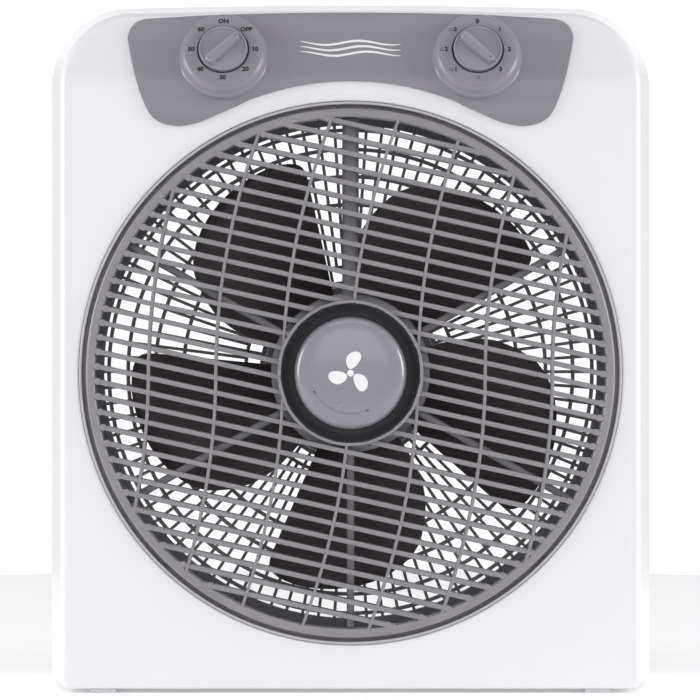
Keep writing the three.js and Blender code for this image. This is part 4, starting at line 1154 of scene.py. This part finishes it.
def studio_floor(scene):
    material = finish("studio_floor", (0.93, 0.93, 0.935), 0.75, grain=300, bump=0.02, mottle=3, uneven=0.01)
    shader = shader_of(material)
    shader.inputs["Emission Color"].default_value = (1, 1, 1, 1)
    shader.inputs["Emission Strength"].default_value = FLOOR_GLOW
    bm = bmesh.new()
    bmesh.ops.create_circle(bm, cap_ends=True, segments=96, radius=FLOOR_RADIUS)
    mesh = bpy.data.meshes.new("studio_floor")
    bm.to_mesh(mesh)
    bm.free()
    mesh.materials.append(material)
    floor = bpy.data.objects.new("studio_floor", mesh)
    scene.collection.objects.link(floor)


def area_lights(scene):
    for name, place, size, power, target in LIGHTS:
        lamp = bpy.data.lights.new(name, "AREA")
        lamp.shape = "RECTANGLE"
        lamp.size, lamp.size_y = size
        lamp.energy = getattr(scene.fan_studio, power)
        holder = bpy.data.objects.new(name, lamp)
        holder.location = place
        holder.rotation_euler = (Vector(target) - Vector(place)).to_track_quat("-Z", "Y").to_euler()
        scene.collection.objects.link(holder)


def studio_camera(scene):
    lens = bpy.data.cameras.new("camera")
    lens.lens = scene.fan_studio.lens
    lens.sensor_width = 36
    lens.clip_end = 60
    camera = bpy.data.objects.new("camera", lens)
    camera.location = VIEW_CENTRE - Vector((0, CAMERA_DISTANCE, 0))
    camera.rotation_euler = (math.pi / 2, 0, 0)
    scene.collection.objects.link(camera)
    scene.camera = camera
    scene.view_settings.view_transform = "Standard"


# ---------- operators, panel and run ----------

def carried_nodes():
    """Gives every CAD part that stays its own finish."""
    for look, names in CAD_FINISHES.items():
        for name in names:
            mesh = frame["nodes"][name].data
            mesh.materials.clear()
            mesh.materials.append(FINISHES[look])


class BOXFAN_OT_studio(bpy.types.Operator):
    """Makes the floor, the lights and the camera"""
    bl_idname = "box_fan.studio"
    bl_label = "Studio"
    bl_options = {"REGISTER", "UNDO"}

    def execute(self, context):
        ready_finishes(context.scene)
        surroundings(context.scene)
        studio_floor(context.scene)
        area_lights(context.scene)
        studio_camera(context.scene)
        return {"FINISHED"}


class BOXFAN_OT_housing(bpy.types.Operator):
    """Makes the front and rear shells and the feet"""
    bl_idname = "box_fan.housing"
    bl_label = "Housing"
    bl_options = {"REGISTER", "UNDO"}

    def execute(self, context):
        ready_finishes(context.scene)
        front_shell(context)
        rear_shell(context)
        feet(context)
        return {"FINISHED"}


class BOXFAN_OT_panel(bpy.types.Operator):
    """Makes the control panel, its labels and its mark"""
    bl_idname = "box_fan.panel"
    bl_label = "Control panel"
    bl_options = {"REGISTER", "UNDO"}

    def execute(self, context):
        ready_finishes(context.scene)
        control_panel(context)
        dial_labels(context)
        panel_mark(context)
        return {"FINISHED"}


class BOXFAN_OT_dials(bpy.types.Operator):
    """Makes the two dial knobs"""
    bl_idname = "box_fan.dials"
    bl_label = "Dials"
    bl_options = {"REGISTER", "UNDO"}

    def execute(self, context):
        ready_finishes(context.scene)
        dial_knobs(context)
        return {"FINISHED"}


class BOXFAN_OT_louvre(bpy.types.Operator):
    """Makes the turning louvre, its lock knob and the frame behind it"""
    bl_idname = "box_fan.louvre"
    bl_label = "Louvre"
    bl_options = {"REGISTER", "UNDO"}

    def execute(self, context):
        ready_finishes(context.scene)
        louvre(context)
        hub_knob(context)
        propeller_mark(context)
        front_frame(context)
        grille_motor_lid(context)
        return {"FINISHED"}


class BOXFAN_OT_fan(bpy.types.Operator):
    """Makes the blades and the nut"""
    bl_idname = "box_fan.fan"
    bl_label = "Fan"
    bl_options = {"REGISTER", "UNDO"}

    def execute(self, context):
        ready_finishes(context.scene)
        fan(context)
        fan_nut(context)
        return {"FINISHED"}


class BOXFAN_OT_guard(bpy.types.Operator):
    """Makes the rear guard, motor cover and cord gland"""
    bl_idname = "box_fan.guard"
    bl_label = "Rear guard"
    bl_options = {"REGISTER", "UNDO"}

    def execute(self, context):
        ready_finishes(context.scene)
        rear_guard(context)
        motor_cover(context)
        cord_gland(context)
        return {"FINISHED"}


class BOXFAN_OT_inside(bpy.types.Operator):
    """Gives the carried parts their finishes"""
    bl_idname = "box_fan.inside"
    bl_label = "Inner parts"
    bl_options = {"REGISTER", "UNDO"}

    def execute(self, context):
        ready_finishes(context.scene)
        carried_nodes()
        return {"FINISHED"}


OPERATORS = [BOXFAN_OT_studio, BOXFAN_OT_housing, BOXFAN_OT_panel, BOXFAN_OT_dials, BOXFAN_OT_louvre,
             BOXFAN_OT_fan, BOXFAN_OT_guard, BOXFAN_OT_inside]


class BOXFAN_PT_sidebar(bpy.types.Panel):
    """Lists the steps that build the box fan."""
    bl_idname = "BOXFAN_PT_sidebar"
    bl_label = "Box Fan"
    bl_space_type = "VIEW_3D"
    bl_region_type = "UI"
    bl_category = "Box Fan"

    def draw(self, context):
        for operator in OPERATORS:
            self.layout.operator(operator.bl_idname)
        for owner in ("fan_housing", "fan_louvre", "fan_blades", "fan_dials", "fan_studio"):
            settings = getattr(context.scene, owner)
            box = self.layout.box()
            for name in settings.__annotations__:
                box.prop(settings, name)


SETTINGS = {"fan_housing": HousingSettings, "fan_louvre": LouvreSettings, "fan_blades": FanSettings,
            "fan_dials": DialSettings, "fan_studio": StudioSettings}


def register():
    for owner, settings in SETTINGS.items():
        bpy.utils.register_class(settings)
        setattr(bpy.types.Scene, owner, PointerProperty(type=settings))
    for operator in OPERATORS:
        bpy.utils.register_class(operator)
    bpy.utils.register_class(BOXFAN_PT_sidebar)


def unregister():
    bpy.utils.unregister_class(BOXFAN_PT_sidebar)
    for operator in reversed(OPERATORS):
        bpy.utils.unregister_class(operator)
    for owner, settings in SETTINGS.items():
        delattr(bpy.types.Scene, owner)
        bpy.utils.unregister_class(settings)


def main():
    register()
    bpy.ops.box_fan.studio()
    bpy.ops.box_fan.housing()
    bpy.ops.box_fan.panel()
    bpy.ops.box_fan.dials()
    bpy.ops.box_fan.louvre()
    bpy.ops.box_fan.fan()
    bpy.ops.box_fan.guard()
    bpy.ops.box_fan.inside()


if __name__ == "__main__":
    main()
